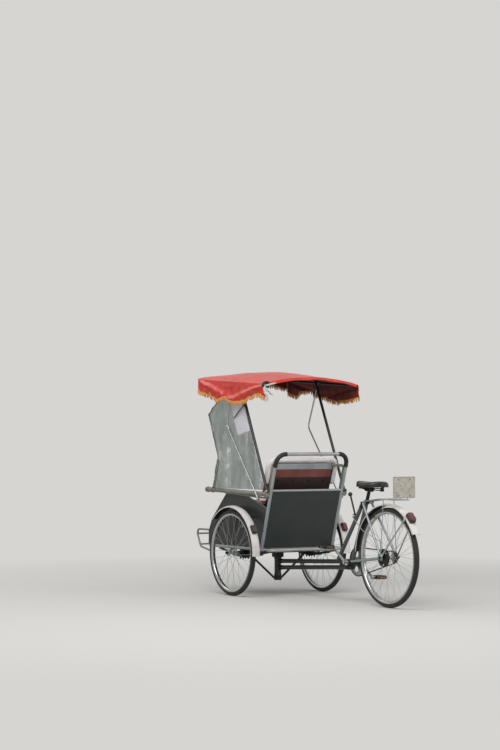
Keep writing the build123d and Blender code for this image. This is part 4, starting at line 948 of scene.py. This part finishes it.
def swagOut(x, drop, side):
    # how far the hung cloth stands out: two folds from the tied corners, creases round them, a waved hem
    depth = hangDepth(x, side)
    out = 0.004
    here = Vector((x, drop))
    low = Vector((0.47, hangDepth(0.47, side) * 0.96))
    for corner, height in ((Vector((0.962, 0.0)), 0.8), (Vector((0.035, 0.0)), 1.0)):
        run = low - corner
        along = max(0, min(1, (here - corner).dot(run) / run.length_squared))
        away = (here - corner - run * along)
        width = 0.013 + 0.011 * along
        out += canopy["ridge"] * height * exp(-(away.length / width) ** 2) * (1 - 0.35 * along)
        reach = (here - corner).length
        turn = atan2(drop, abs(x - corner.x) + 1e-6)
        out += canopy["crease"] * sin(15 * turn + 3 * side) * exp(-reach / 0.20) * min(1, reach / 0.03)
    share = min(1, drop / max(depth, 0.01))
    out += canopy["hemWave"] * share ** 2 * sin(2 * pi * x / canopy["hemPitch"] + 1.1 + 2.3 * side)
    out += 0.0040 * noise.noise(Vector((x * 14, drop * 18, side * 3.0)))
    out += 0.0018 * noise.noise(Vector((x * 40, drop * 46, side * 7.0)))
    ends = min(1, 0.06 + (canopy["front"] - x) / 0.030)  # drawn in to meet the front flap
    return max(0.0015, out) * min(1, drop / 0.035) * ends


def roofPoint(x, y):
    # the roof cloth, taut over the ribs and a little slack between them
    flat = 1 - (y / canopy["railY"]) ** 2
    slack = 0.0022 * (1 + noise.noise(Vector((x * 7, y * 6, 2.0))))
    slack += 0.0010 * noise.noise(Vector((x * 30, y * 24, 5.0)))
    z = railHeight(x) + canopy["bend"] + readLine(ribCrown, x) * flat + slack * min(1, 4 * flat)
    return Vector((x, y, z))


canopyRows = []
for i in range(canopy["slices"] + 1):
    x = canopy["rear"] + (canopy["front"] - canopy["rear"]) * i / canopy["slices"]
    row = []
    for side in (1, -1):
        part = []
        for k in range(canopy["hemSteps"] + 1):  # hem up to the rail
            drop = hangDepth(x, side) * (1 - k / canopy["hemSteps"])
            away = canopy["railY"] + canopy["bend"] + swagOut(x, drop, side)
            part.append(Vector((x, side * away, railHeight(x) - drop)))
        for k in range(1, canopy["railSteps"] + 1):  # round the rail
            a = radians(18 * k)
            away = canopy["railY"] + canopy["bend"] * cos(a)
            part.append(Vector((x, side * away, railHeight(x) + canopy["bend"] * sin(a))))
        row.append(part)
    roof = [roofPoint(x, 0.375 - 0.750 * k / canopy["roofSteps"]) for k in range(canopy["roofSteps"] + 1)]
    canopyRows.append(row[0] + roof + row[1][::-1])
canopyShape = ([], [])
addGrid(canopyShape, canopyRows)
rowLength, hemTop = len(canopyRows[0]), canopy["hemSteps"]
roofFirst = hemTop + canopy["railSteps"] + 1
roofLast = roofFirst + canopy["roofSteps"]
for index, sign, deep in ((0, -1, canopy["rearFold"]), (canopy["slices"], 1, canopy["frontFlap"])):
    verts, faces = canopyShape
    # the front flap reaches round both corners, the rear fold only across the roof
    first, last = (hemTop, rowLength - 1 - hemTop) if sign > 0 else (roofFirst, roofLast)
    top = max(canopyRows[index][roofFirst].z, canopyRows[index][roofLast].z)
    previous = [index * rowLength + j for j in range(first, last + 1)]
    steps = 4 if sign < 0 else 12
    for k in range(1, steps + 1):
        t = k / steps
        fresh = []
        for j in range(first, last + 1):
            edge = canopyRows[index][j]
            ease = min(1, t * deep / 0.006)
            wave = 0.0035 * sin(edge.y * 52 + 1.3 * sign) * t * (1 if sign > 0 else 0.3)
            fresh.append(len(verts))
            fall = (deep - max(0, top - edge.z)) * t * (1 + 0.10 * sin(edge.y * 31) * t)
            inward = max(0, min(1, (0.3868 - abs(edge.y)) / 0.014))
            verts.append(edge + Vector((sign * (0.0002 + inward * (0.0045 * ease + max(0, wave))), 0, -fall)))
        for j in range(last - first):
            quad = (previous[j], previous[j + 1], fresh[j + 1], fresh[j])
            faces.append(quad if sign > 0 else quad[::-1])
        previous = fresh
    if sign > 0:
        flapHem = [verts[v] for v in previous]
canopyPiece = makePiece("canopySheet", canopyShape, "canopyRed", "carriage",
                        ["canopy_cloth", "canopy_valance"], crease=0, recalc=False)
# inner face in the darker copy of the canvas: painted shade under the roof
thicken(canopyPiece, canopy["thick"], "canopyShadedUnderside")

# gold fringe: a twisted cord on the hem and tufts of yarn under it
fringeShape = ([], [])
hems = [[row[end] for row in canopyRows] for end in (0, -1)] + [[p + Vector((0.0008, 0, 0)) for p in flapHem]]
for line, outward in zip(hems, (Vector((0, 1, 0)), Vector((0, -1, 0)), Vector((1, 0, 0)))):
    braid = [p + outward * 0.0014 + Vector((0, 0, 0.002)) for p in line]
    addTube(fringeShape, braid, 0.0032, 6)
    reach = measured(line)
    count, k = int(reach[-1] / canopy["strandGap"]), 0
    for n in range(count):
        goal = reach[-1] * (n + 0.5) / count
        while reach[k + 1] < goal:
            k += 1
        root = line[k].lerp(line[k + 1], (goal - reach[k]) / (reach[k + 1] - reach[k]))
        along = (line[k + 1] - line[k]).normalized()
        tuft, inTuft = n // 6, n % 6 - 2.5
        random.seed(900 + tuft)
        size, tip = random.uniform(0.72, 1.08), random.uniform(-0.004, 0.004)
        random.seed(n + int(1000 * abs(outward.x)) + (5000 if outward.y < 0 else 0))
        long = canopy["fringe"] * size * (1 - 0.06 * abs(inTuft)) * random.uniform(0.9, 1.05)
        gather = -along * inTuft * canopy["strandGap"] * 0.45 + along * tip
        sway = outward * random.uniform(-0.002, 0.004)
        down = Vector((0, 0, -1))
        start = root + outward * random.uniform(0.0, 0.003)
        strand = [start + Vector((0, 0, 0.001))]
        for fall, pull, swing in ((0.35, 0.5, 0.3), (0.7, 1, 0.7), (1, 0.8, 1)):
            strand.append(start + down * long * fall + gather * pull + sway * swing)
        addTube(fringeShape, strand, [0.0016, 0.0019, 0.0015, 0.0007], 4)
fringe = makePiece("canopyFringe", fringeShape, "goldYarn", "carriage", crease=0)

# rear corner: black tape wound round the rail's end, and three white ties
tie = {"windings": 9, "windingGap": 0.0052, "windingRadius": 0.0175, "tape": 0.0046, "thick": 0.0006, "bend": 0.012,
       "step": 0.004}
tieShape = ([], [])
random.seed(21)
corner = Vector((0.026, 0.381, 1.4905))
for k in range(tie["windings"]):
    ring, lean, size = [], random.uniform(-0.5, 0.5), tie["windingRadius"] + random.uniform(-0.002, 0.004)
    spot = corner + Vector((-0.010 + tie["windingGap"] * k, 0.001 * sin(k), -0.002 + 0.003 * sin(2.3 * k)))
    for j in range(20):
        a = 2 * pi * j / 20
        ring.append(spot + Vector((lean * 0.012 * sin(a), size * 0.85 * cos(a), size * sin(a))))
    addTube(tieShape, ring, tie["tape"], 8, closed=True)
makePiece("cornerTape", tieShape, "blackTape", "carriage", crease=0)


def tapeStrip(name, points, width, twist):
    # a flat tie through the points, turning a little as it goes
    dense = spaced(bendPath(points, tie["bend"], 8), tie["step"], int)
    rows = []
    for i, spot in enumerate(dense):
        run = (dense[min(i + 1, len(dense) - 1)] - dense[max(i - 1, 0)]).normalized()
        turn = twist * i / len(dense) + 0.25 * sin(i * 0.35)
        across = Vector((cos(turn), 0, sin(turn))) if abs(run.z) > 0.75 else Vector((0, sin(turn), cos(turn)))
        across = (across - run * across.dot(run)).normalized() * width / 2
        rows.append([spot - across, spot - across / 3, spot + across / 3, spot + across])
    shape = ([], [])
    addGrid(shape, rows)
    piece = makePiece(name, shape, "whiteTape", "carriage", crease=0, recalc=False)
    thicken(piece, tie["thick"])


tapeStrip("tieLong", [(0.016, 0.404, 1.474), (-0.020, 0.407, 1.452), (-0.058, 0.405, 1.430), (-0.093, 0.402, 1.412)],
          0.025, 0.6)
tapeStrip("tieShort", [(0.018, 0.406, 1.470), (0.002, 0.409, 1.440), (-0.040, 0.411, 1.400), (-0.022, 0.409, 1.374)],
          0.022, -0.5)
tapeStrip("tieStub", [(0.014, 0.402, 1.480), (-0.060, 0.403, 1.487), (-0.131, 0.400, 1.496)], 0.012, 0.4)
print("stage: canopy")

# clear side curtain: crinkled film from the arm rail to the roof rail, rolled at its front edge
curtain = {"y": 0.3350, "crinkle": 0.0075, "curl": 0.0055, "foot": 0.757, "rise": 0.653, "flat": (0.80, 0.74)}
curtainRight = [(0.757, 0.828), (0.982, 0.751), (1.291, 0.888), (1.425, 0.703)]
strutFoot, strutKnee, strutHead = Vector((0.196, 0.695)), Vector((0.617, 1.203)), Vector((0.531, 1.521))


def lineDistance(p, a, b):
    run = b - a
    t = max(0, min(1, (p - a).dot(run) / run.length_squared))
    return (p - a - run * t).length


curtainRows = []
for i in range(105):
    v = i / 104
    zl, zr = curtain["foot"] + curtain["rise"] * v, curtain["foot"] + 0.668 * v
    xl = 0.123 + (zl - 0.775) * 0.303 / 0.635
    for (za, xa), (zb, xb) in zip(curtainRight, curtainRight[1:]):
        if za <= zr <= zb:
            xr = xa + (xb - xa) * (zr - za) / (zb - za)
    row = []
    for j in range(81):
        u = j / 80
        x, z = xl + (xr - xl) * u, zl + (zr - zl) * u
        here = Vector((x, z))
        # little or no crinkle where a strut, the roof rail or the card is close
        strutGap = min(lineDistance(here, strutFoot, strutKnee), lineDistance(here, strutKnee, strutHead))
        loose = min(1, max(0, (strutGap - 0.012) / 0.05))
        if z > 1.34:
            loose *= max(0, 1 - (z - 1.34) / 0.05)
        if x < 0.64 and z > 1.10:
            loose *= 0.15
        fold = 0.5 + 0.5 * sin(38 * (x - 0.45 * z) + 2.5 * noise.noise(Vector((x * 5, z * 5, 0))))
        wrinkle = abs(noise.noise(Vector((x * 26, z * 19, 3.0))))
        wrinkle += 0.5 * abs(noise.noise(Vector((x * 60, z * 47, 8.0))))
        out = curtain["crinkle"] * loose * (0.55 * fold + 0.9 * wrinkle)
        row.append(Vector((x, curtain["y"] + out, z)))
    edge, outer = row[-1], []
    for k in range(1, 7):  # rolled hem
        a = 2 * pi * k / 7
        outer.append(edge + Vector((curtain["curl"] * sin(a), curtain["curl"] * (1 - cos(a)), 0)))
    curtainRows.append(row + outer)
curtainShape = ([], [])
addGrid(curtainShape, curtainRows)
curtainPiece = makePiece("curtainSheet", curtainShape, "curtainFilm", "carriage", ["side_curtain"],
                         crease=0, recalc=False)

# card in its sleeve, blank, hung in the curtain, and the batten that stiffens the curtain's foot
card = {"y": 0.3364, "bulge": 0.0012, "thick": 0.0005, "weld": 0.0009, "battenWide": 0.013, "battenThick": 0.0045}
cardCorners = [Vector((0.430, 1.402)), Vector((0.616, 1.394)), Vector((0.486, 1.136)), Vector((0.3172, 1.170))]
cardRows = []
for i in range(25):
    v = i / 24
    row = []
    for j in range(17):
        u = j / 16
        p = cardCorners[0].lerp(cardCorners[1], u).lerp(cardCorners[3].lerp(cardCorners[2], u), v)
        out = card["bulge"] * sin(pi * u) * sin(pi * v) + 0.0004 * sin(9 * v + 3 * u)
        row.append(Vector((p.x, card["y"] + out, p.y)))
    cardRows.append(row)
cardShape = ([], [])
addGrid(cardShape, cardRows)
cardPiece = makePiece("noticeCard", cardShape, "noticeSleeve", "carriage", ["notice_sheet"], crease=0)
thicken(cardPiece, card["thick"])
cardTrim = ([], [])
addTube(cardTrim, [Vector((p.x, card["y"] + 0.0004, p.y)) for p in cardCorners], card["weld"], 6, closed=True)
makePiece("noticeWeld", cardTrim, "whiteTape", "carriage")
battenShape = ([], [])
foot, head = Vector((0.815, 0.339, 0.752)), Vector((0.747, 0.3385, 0.960))
battenOutline = softBox(card["battenWide"], card["battenThick"], 0.0015)
addPrism(battenShape, battenOutline, (head - foot).length, placeAt(foot, head - foot), 0.0006)
makePiece("curtainBatten", battenShape, "agedRail", "carriage")
pegShape = ([], [])
pegLine = [(0.371, 0.3475, 1.360), (0.376, 0.3478, 1.357), (0.448, 0.3492, 1.310), (0.522, 0.3478, 1.262),
           (0.527, 0.3475, 1.259)]
addTube(pegShape, pegLine, [0.0030, 0.0040, 0.0040, 0.0040, 0.0026], 12)
addTube(pegShape, [(0.390, 0.330, 1.348), (0.390, 0.349, 1.348)], 0.0055, 12)
makePiece("curtainPeg", pegShape, "blackMoulding", "carriage")
print("stage: curtain")

# cushions: blown up a little by cloth simulation, then sewn into channels and piped
cushion = {"voxel": 0.0065, "pressure": 4.0, "frames": 20, "cap": 0.009, "channel": 0.094, "channelDepth": 0.0075,
           "piping": 0.0036, "seatX": 0.4282, "seatLong": 0.300, "seatWide": 0.552, "seatHigh": 0.066}
leanUp = Vector((-0.362, 0, 1)).normalized()
leanOut = Vector((1, 0, 0.362)).normalized()
seatFoot = Vector((0.270, 0, 0.600))


def backPoint(y, up, out):
    return seatFoot + Vector((0, y, 0)) + leanUp * up + leanOut * out


def puffPad(name, shape):
    # remeshed, then swelled by air pressure with gravity off; no point moves further than the cap
    scene = bpy.context.scene
    mesh = bpy.data.meshes.new(name + "Start")
    mesh.from_pydata([tuple(v) for v in shape[0]], [], shape[1])
    pad = bpy.data.objects.new(name + "Start", mesh)
    scene.collection.objects.link(pad)
    remesh = pad.modifiers.new("Remesh", "REMESH")
    remesh.mode, remesh.voxel_size = "VOXEL", cushion["voxel"] * 1
    pad.data = bpy.data.meshes.new_from_object(pad.evaluated_get(bpy.context.evaluated_depsgraph_get()))
    pad.modifiers.clear()
    still = [v.co.copy() for v in pad.data.vertices]
    cloth = pad.modifiers.new("Cloth", "CLOTH")
    cloth.settings.use_pressure = True
    cloth.settings.uniform_pressure_force = cushion["pressure"]
    cloth.settings.effector_weights.gravity = 0
    cloth.point_cache.frame_end = cushion["frames"]
    for step in range(1, cushion["frames"] + 1):
        scene.frame_set(step)
    pad.data = bpy.data.meshes.new_from_object(pad.evaluated_get(bpy.context.evaluated_depsgraph_get()))
    pad.modifiers.clear()
    scene.frame_set(1)
    for v, before in zip(pad.data.vertices, still):
        way = v.co - before
        if way.length > cushion["cap"]:
            v.co = before + way * cushion["cap"] / way.length
    out = ([v.co.copy() for v in pad.data.vertices], [tuple(face.vertices) for face in pad.data.polygons])
    bpy.data.objects.remove(pad)
    return out


def sewPad(shape, outward, foot):
    # flat where it lies on its board, and pressed in along the seams
    verts, faces = shape
    for i, v in enumerate(verts):
        rise = (v - foot).dot(outward)
        if rise < 0.0015:
            v = v + outward * (0.0015 - rise)
            rise = 0.0015
        seam = abs((v.y / cushion["channel"] + 0.5) % 1 - 0.5) * cushion["channel"]
        if abs(v.y) > cushion["channel"] * 2.6:
            seam = 1
        press = exp(-(seam / 0.0075) ** 2) + 0.28 * exp(-(seam / 0.022) ** 2)
        share = max(0, min(1, (rise - 0.020) / 0.020))
        crown = 0.0028 * noise.noise(v * 17) * share
        verts[i] = v - outward * (cushion["channelDepth"] * press * share) + outward * crown
    return verts, faces


def pipeRound(shape, rim, middle):
    # piping laid on the cushion's skin, found by looking inwards from the rim
    tree = BVHTree.FromPolygons([tuple(v) for v in shape[0]], shape[1])
    line = []
    for p in rim:
        hit = tree.ray_cast(p + (p - middle).normalized() * 0.03, (middle - p).normalized())
        if hit[0] is not None:
            line.append(hit[0])
    out = ([], [])
    addTube(out, line, cushion["piping"], 10, closed=True)
    return out


def denseRim(corners, place, steps):
    # the closed outline with more points, each put in its place
    out = []
    for a, b in zip(corners, corners[1:] + corners[:1]):
        out += [place(a[0] + (b[0] - a[0]) * k / steps, a[1] + (b[1] - a[1]) * k / steps) for k in range(steps)]
    return out


seatStart = ([], [])
seatOutline = softBox(cushion["seatLong"], cushion["seatWide"], 0.034)
addPrism(seatStart, seatOutline, cushion["seatHigh"], placeAt((cushion["seatX"], 0, 0.6020)), 0.014)
seatPad = sewPad(puffPad("seatPad", seatStart), Vector((0, 0, 1)), Vector((0, 0, 0.5995)))
seat = makePiece("seatPad", seatPad, "redVinyl", "carriage", ["seat_cushion"], crease=0)
seatRim = softBox(cushion["seatLong"] - 0.004, cushion["seatWide"] - 0.004, 0.045, 6)
for name, height in (("seatPipingTop", 0.659), ("seatPipingLow", 0.609)):
    middle = Vector((cushion["seatX"], 0, height))
    rim = denseRim(seatRim, lambda u, v: middle + Vector((u, v, 0)), 4)
    makePiece(name, pipeRound(seatPad, rim, middle), "whiteVinyl", "carriage", crease=0)

backHalf = [(0.272, 0.101), (0.274, 0.196), (0.2495, 0.197), (0.2495, 0.335), (0.2380, 0.352), (0.222, 0.361)]
backOutline = [(-0.272, 0.101)] + backHalf + [(-y, up) for y, up in reversed(backHalf[1:])]
backStart = ([], [])
backPlace = placeAt(seatFoot + leanOut * 0.003, leanOut, (0, 1, 0))
addPrism(backStart, backOutline, 0.050, backPlace, 0.012)
backPad = sewPad(puffPad("backPad", backStart), leanOut, seatFoot + leanOut * 0.0005)
back = makePiece("backPad", backPad, "redVinyl", "carriage", ["backrest_cushion"], crease=0)
backMiddle = backPoint(0, 0.225, 0.040)
rim = denseRim(backOutline, lambda y, up: backPoint(y * 0.985, up, 0.040), 8)
makePiece("backPiping", pipeRound(backPad, rim, backMiddle), "whiteVinyl", "carriage", crease=0)

# roll: stuffed white edge round the backrest, puckered where it turns, with a seam along it
roll = {"radius": 0.0203, "bend": 0.050, "step": 0.006, "pucker": 0.0014, "seam": 0.0016, "out": 0.008}
rollCorners = [(-0.275, 0.2021), (-0.275, 0.3882), (0.275, 0.3882), (0.275, 0.2021)]
rollPath = bendPath([backPoint(y, up, roll["out"]) for y, up in rollCorners], roll["bend"], 18)
rollLine = spaced(rollPath, roll["step"])
rollCount = len(rollLine)


def puckers(i, k):
    # small gathers at the two turns and at the tied ends
    spot = rollLine[i]
    turned = exp(-((abs(spot.y) - 0.262) / 0.022) ** 2) * exp(-(((spot - seatFoot).dot(leanUp) - 0.374) / 0.022) ** 2)
    ends = exp(-(min(i, rollCount - 1 - i) / 4) ** 2)
    soft = 0.0010 * noise.noise(Vector((i * 0.11, k * 0.5, 4.0)))
    return (roll["pucker"] * turned + 0.0008 * ends) * sin(i * 2.1 + k * 0.4) + soft


rollRadii = [roll["radius"] * min(1, sqrt((min(i, rollCount - 1 - i) + 0.35) / 3.2)) for i in range(rollCount)]
rollShape = ([], [])
addTube(rollShape, rollLine, rollRadii, 24, wave=puckers)
rollPiece = makePiece("backRoll", rollShape, "whiteVinyl", "carriage", ["backrest_roll"], crease=0)
seamShape = ([], [])
outwardTurn = []
for i in range(2, rollCount - 2):
    run = (rollLine[i + 1] - rollLine[i - 1]).normalized()
    outside = run.cross(leanOut) * -1
    outwardTurn.append(rollLine[i] + (outside * 0.70 - leanOut * 0.72).normalized() * roll["radius"])
addTube(seamShape, outwardTurn, roll["seam"], 8)
makePiece("rollSeam", seamShape, "whiteTape", "carriage", crease=0)

# a grey band, the roll's white vinyl painted in shade, and an oilcloth band on the back of the backrest board, under
# the roll
for name, wide, low, high, look, slot in (("backShadeBand", 0.490, 0.322, 0.3655, "greyShadeBand", "white_vinyl"),
                                          ("backBand", 0.486, 0.262, 0.321, "brownCloth", "plywood")):
    band = ([], [])
    place = placeAt(backPoint(0, (low + high) / 2, -0.0102), -leanOut, (0, 1, 0))
    addPrism(band, softBox(wide, high - low, 0.002), 0.0012, place, 0.0003)
    makePiece(name, band, look, "carriage")
boardRows = {"across": (-0.19, -0.065, 0.065, 0.19), "up": (0.045, 0.235)}
boardBolts = ([], [])
for y in boardRows["across"]:
    for up in boardRows["up"]:
        addBolt(boardBolts, backPoint(y, up, -0.0100), -leanOut, 0.010, 0.0026, 0.009)
makePiece("boardBolts", boardBolts, "blackIron", "carriage")
print("stage: cushions")

# push-bar grips: ridged rubber sleeves round the two bends
grip = {"ridge": 0.0160, "groove": 0.0150, "ridgeStep": 0.0026}
gripShape = ([], [])
for side in (-1, 1):
    turn = bendPath([(0.0499, side * 0.295, 0.916), (0.0222, side * 0.295, 1.006), (0.0222, side * 0.218, 1.006)],
                    0.072, 40)
    line = spaced(turn, grip["ridgeStep"])
    last = len(line) - 1
    radii = [grip["ridge"] if i % 3 or min(i, last - i) < 4 else grip["groove"] for i in range(last + 1)]
    addTube(gripShape, line, radii, 24)
makePiece("ridgedGrips", gripShape, "gripRubber", "carriage", ["grips"], crease=45)

# rear panel: rivets down its sides and along its foot, and on the curved side edges
panelFoot, panelHead = Vector((0.225, 0, 0.352)), Vector((0.101, 0, 0.751))
panelUp = (panelHead - panelFoot).normalized()
panelOut = Vector((-panelUp.z, 0, panelUp.x))
rivet = {"radius": 0.0042, "head": 0.0022, "gap": 0.045, "footGap": 0.047, "across": 0.274}
rivetShape = ([], [])
rivetRows = [(0.022 + rivet["gap"] * k, side * rivet["across"]) for side in (-1, 1) for k in range(9)]
rivetRows += [(0.014, -0.235 + rivet["footGap"] * k) for k in range(11)]
for up, y in rivetRows:
    spot = panelFoot + panelUp * up + Vector((0, y, 0)) + panelOut * 0.0010
    addPrism(rivetShape, ringOutline(rivet["radius"], 12), rivet["head"], placeAt(spot, panelOut), 0.0010)
sideRivets = ((0.20, 0.607), (0.30, 0.638), (0.40, 0.672), (0.50, 0.703), (0.62, 0.709), (0.72, 0.694), (0.80, 0.622),
              (0.88, 0.548))
for side in (-1, 1):  # along the curved side edges
    for x, z in sideRivets:
        addPrism(rivetShape, ringOutline(0.0040, 12), 0.0020, placeAt((x, side * 0.2930, z), (0, side, 0)), 0.0009)
makePiece("panelRivets", rivetShape, "panelPaint", "carriage")

# guards: rolled beads along their edges, and the two stays of the rear one
guard = {"bead": 0.0021, "halfWide": 0.0272, "stay": 0.0050, "stayTip": 0.0030, "stayAngle": 131, "stayReach": 0.346}
# name, look, body, axle, offsets from the axle's middle, radius, first and last angle
guardTable = [
    ("frontGuardBeads", "guardFront", "carriage", axleFront, (trackHalf, -trackHalf), 0.3215, 44, 182),
    ("rearGuardBeads", "guardRear", "rear_frame", axleRear, (0.0,), 0.3440, 4, 152),
]
for name, look, body, axle, offsets, reach, start, end in guardTable:
    beadShape = ([], [])
    for y in offsets:
        for side in (-1, 1):
            turns = [start + (end - start) * k / 70 for k in range(71)]
            arc = [axle + around(reach, turn, y + side * guard["halfWide"]) for turn in turns]
            addTube(beadShape, arc, guard["bead"], 8)
    makePiece(name, beadShape, look, body, crease=0)
stayShape, stayBright = ([], []), ([], [])
guardTop = axleRear + around(guard["stayReach"], guard["stayAngle"])
for side in (-1, 1):
    low, high = Vector((-0.9045, side * 0.0640, 0.3420)), guardTop + Vector((0, side * 0.0335, 0))
    run = (high - low).normalized()
    rod = [low + run * 0.012, low + run * 0.022, high - run * 0.026, high - run * 0.016]
    addTube(stayShape, rod, [guard["stayTip"], guard["stay"], guard["stay"], guard["stayTip"]], 14)
    for spot, way in ((low, 1), (high, -1)):
        earPlace = placeAt(spot + run * way * 0.008 - Vector((0, 0.0013, 0)), (0, 1, 0), (-run.z, 0, run.x))
        addPrism(stayBright, softBox(0.013, 0.030, 0.006), 0.0026, earPlace, 0.0004)
        addBolt(stayBright, spot + Vector((0, side * 0.0013, 0)), (0, side, 0), 0.010, 0.004, 0.007)
makePiece("guardStayRods", stayShape, "silverTube", "rear_frame", ["guard_stays"])
makePiece("guardStayEnds", stayBright, "brightZinc", "rear_frame")

# canopy struts and bows: eye bolts and hinge washers; spring clamps and eyes under the body
fitShape = ([], [])
for side in (-1, 1):
    for x, y, z, way in ((0.196, 0.3505, 0.695, 1), (0.617, 0.3505, 1.203, 1), (0.531, 0.3700, 1.521, -1)):
        addBolt(fitShape, (x, side * y, z), (0, side * way, 0), 0.013, 0.0055, 0.0105)
    addBolt(fitShape, (0.104, side * 0.3335, 0.7475), (0, side, 0), 0.013, 0.005, 0.010)
makePiece("strutBolts", fitShape, "brightZinc", "carriage")
leaf = {"apart": 0.280, "plateLong": 0.050, "plateWide": 0.054, "plateThick": 0.0045, "studX": 0.0185,
        "studY": 0.0215, "stud": 0.0032, "nut": 0.0062, "eyeX": 0.157, "eyeZ": 0.3175, "eye": 0.0078,
        "eyeHalf": 0.021}
clampShape = ([], [])
for side in (-1, 1):
    middle = Vector((axleFront.x, side * leaf["apart"], 0))
    for z in (0.3182, 0.2662):  # a plate over the leaves and one under them
        place = placeAt(middle + Vector((0, 0, z)))
        addPrism(clampShape, softBox(leaf["plateLong"], leaf["plateWide"], 0.005), leaf["plateThick"], place, 0.0006)
    for dx in (-leaf["studX"], leaf["studX"]):
        for dy in (-leaf["studY"], leaf["studY"]):
            stud = middle + Vector((dx, dy, 0))
            addTube(clampShape, [stud + Vector((0, 0, 0.2560)), stud + Vector((0, 0, 0.3320))], leaf["stud"], 10)
            for z in (0.3228, 0.2610):
                addPrism(clampShape, ringOutline(leaf["nut"], 6), 0.0050, placeAt(stud + Vector((0, 0, z))), 0.0006)
    for dx in (-leaf["eyeX"], leaf["eyeX"]):
        ends = [middle + Vector((dx, way * leaf["eyeHalf"], leaf["eyeZ"])) for way in (-1, 1)]
        addTube(clampShape, ends, leaf["eye"], 16)
        for end, way in zip(ends, (-1, 1)):
            addBolt(clampShape, end, (0, way, 0), 0.011, 0.005, 0.008)
makePiece("springClamps", clampShape, "blackIron", "carriage")

# foot mat: rubber ribs across the foot board
footMat = {"long": 0.372, "wide": 0.520, "thick": 0.0030, "ribs": 20, "ribWide": 0.0085, "ribGap": 0.0185}
matShape = ([], [])
addPrism(matShape, softBox(footMat["long"], footMat["wide"], 0.012), footMat["thick"], placeAt((0.772, 0, 0.3521)),
         0.0006)
ribOutline = softBox(footMat["ribWide"], footMat["wide"] - 0.012, 0.003, 2)
for k in range(footMat["ribs"]):
    addPrism(matShape, ribOutline, 0.0030, placeAt((0.596 + footMat["ribGap"] * k, 0, 0.3550)), 0.0010)
makePiece("footMat", matShape, "floorMat", "carriage")
print("stage: body fittings")

# room: one pale floor that fades into an even backdrop, and three soft lamps
room = {"floor": "#CFCDC9", "seen": "#D6D5D2", "near": 1.8, "far": 5.0, "world": 0.66, "key": 215, "fill": 55,
        "rim": 48}
floorMesh = bmesh.new()
bmesh.ops.create_grid(floorMesh, x_segments=1, y_segments=1, size=60)
floorData = bpy.data.meshes.new("floor")
floorMesh.to_mesh(floorData)
floorMesh.free()
floor = bpy.data.objects.new("floor", floorData)
bpy.context.scene.collection.objects.link(floor)
floorMat, floorTree, floorSpot = newMaterial("pale matt studio floor")
away = addNode(floorTree, "VectorMath", {0: floorSpot}, out="Value", operation="LENGTH")
far = addNode(floorTree, "MapRange", {"Value": away, "From Min": room["near"], "From Max": room["far"]})
matt = addNode(floorTree, "BsdfPrincipled", {"Base Color": room["floor"], "Roughness": 0.9})
plain = addNode(floorTree, "Emission", {"Color": room["seen"], "Strength": 1.0})
camRay = addNode(floorTree, "LightPath", out="Is Camera Ray")
fadeFar = addNode(floorTree, "Math", {0: camRay, 1: far}, operation="MULTIPLY")
addNode(floorTree, "OutputMaterial", {0: addNode(floorTree, "MixShader", {0: fadeFar, 1: matt, 2: plain})})
floorData.materials.append(floorMat)

world = bpy.data.worlds.new("studio")
bpy.context.scene.world = world
world.use_nodes = True
worldTree = world.node_tree
worldTree.nodes.clear()
light = addNode(worldTree, "Background", {"Color": "#E6E8EA", "Strength": room["world"]})
seen = addNode(worldTree, "Background", {"Color": room["seen"], "Strength": 1.0})
anyRay = 0.0
for ray in ("Is Camera Ray", "Is Transmission Ray", "Is Glossy Ray"):  # what the eye meets is the plain backdrop
    isRay = addNode(worldTree, "LightPath", out=ray)
    anyRay = addNode(worldTree, "Math", {0: isRay, 1: anyRay}, operation="MAXIMUM")
addNode(worldTree, "OutputWorld", {0: addNode(worldTree, "MixShader", {0: anyRay, 1: light, 2: seen})})
lampTable = [
    ("keyLamp", (-3.0, 3.2, 5.2), 3.8, room["key"]),
    ("fillLamp", (-4.5, -3.0, 3.0), 3.0, room["fill"]),
    ("rimLamp", (4.0, 1.5, 4.5), 3.0, room["rim"]),
]
for name, spot, size, power in lampTable:
    lampData = bpy.data.lights.new(name, "AREA")
    lampData.size, lampData.energy = size, power
    lamp = bpy.data.objects.new(name, lampData)
    bpy.context.scene.collection.objects.link(lamp)
    lamp.location = spot
    lamp.rotation_euler = (Vector((0, 0, 0.6)) - Vector(spot)).to_track_quat("-Z", "Y").to_euler()
print("stage: room and lamps")
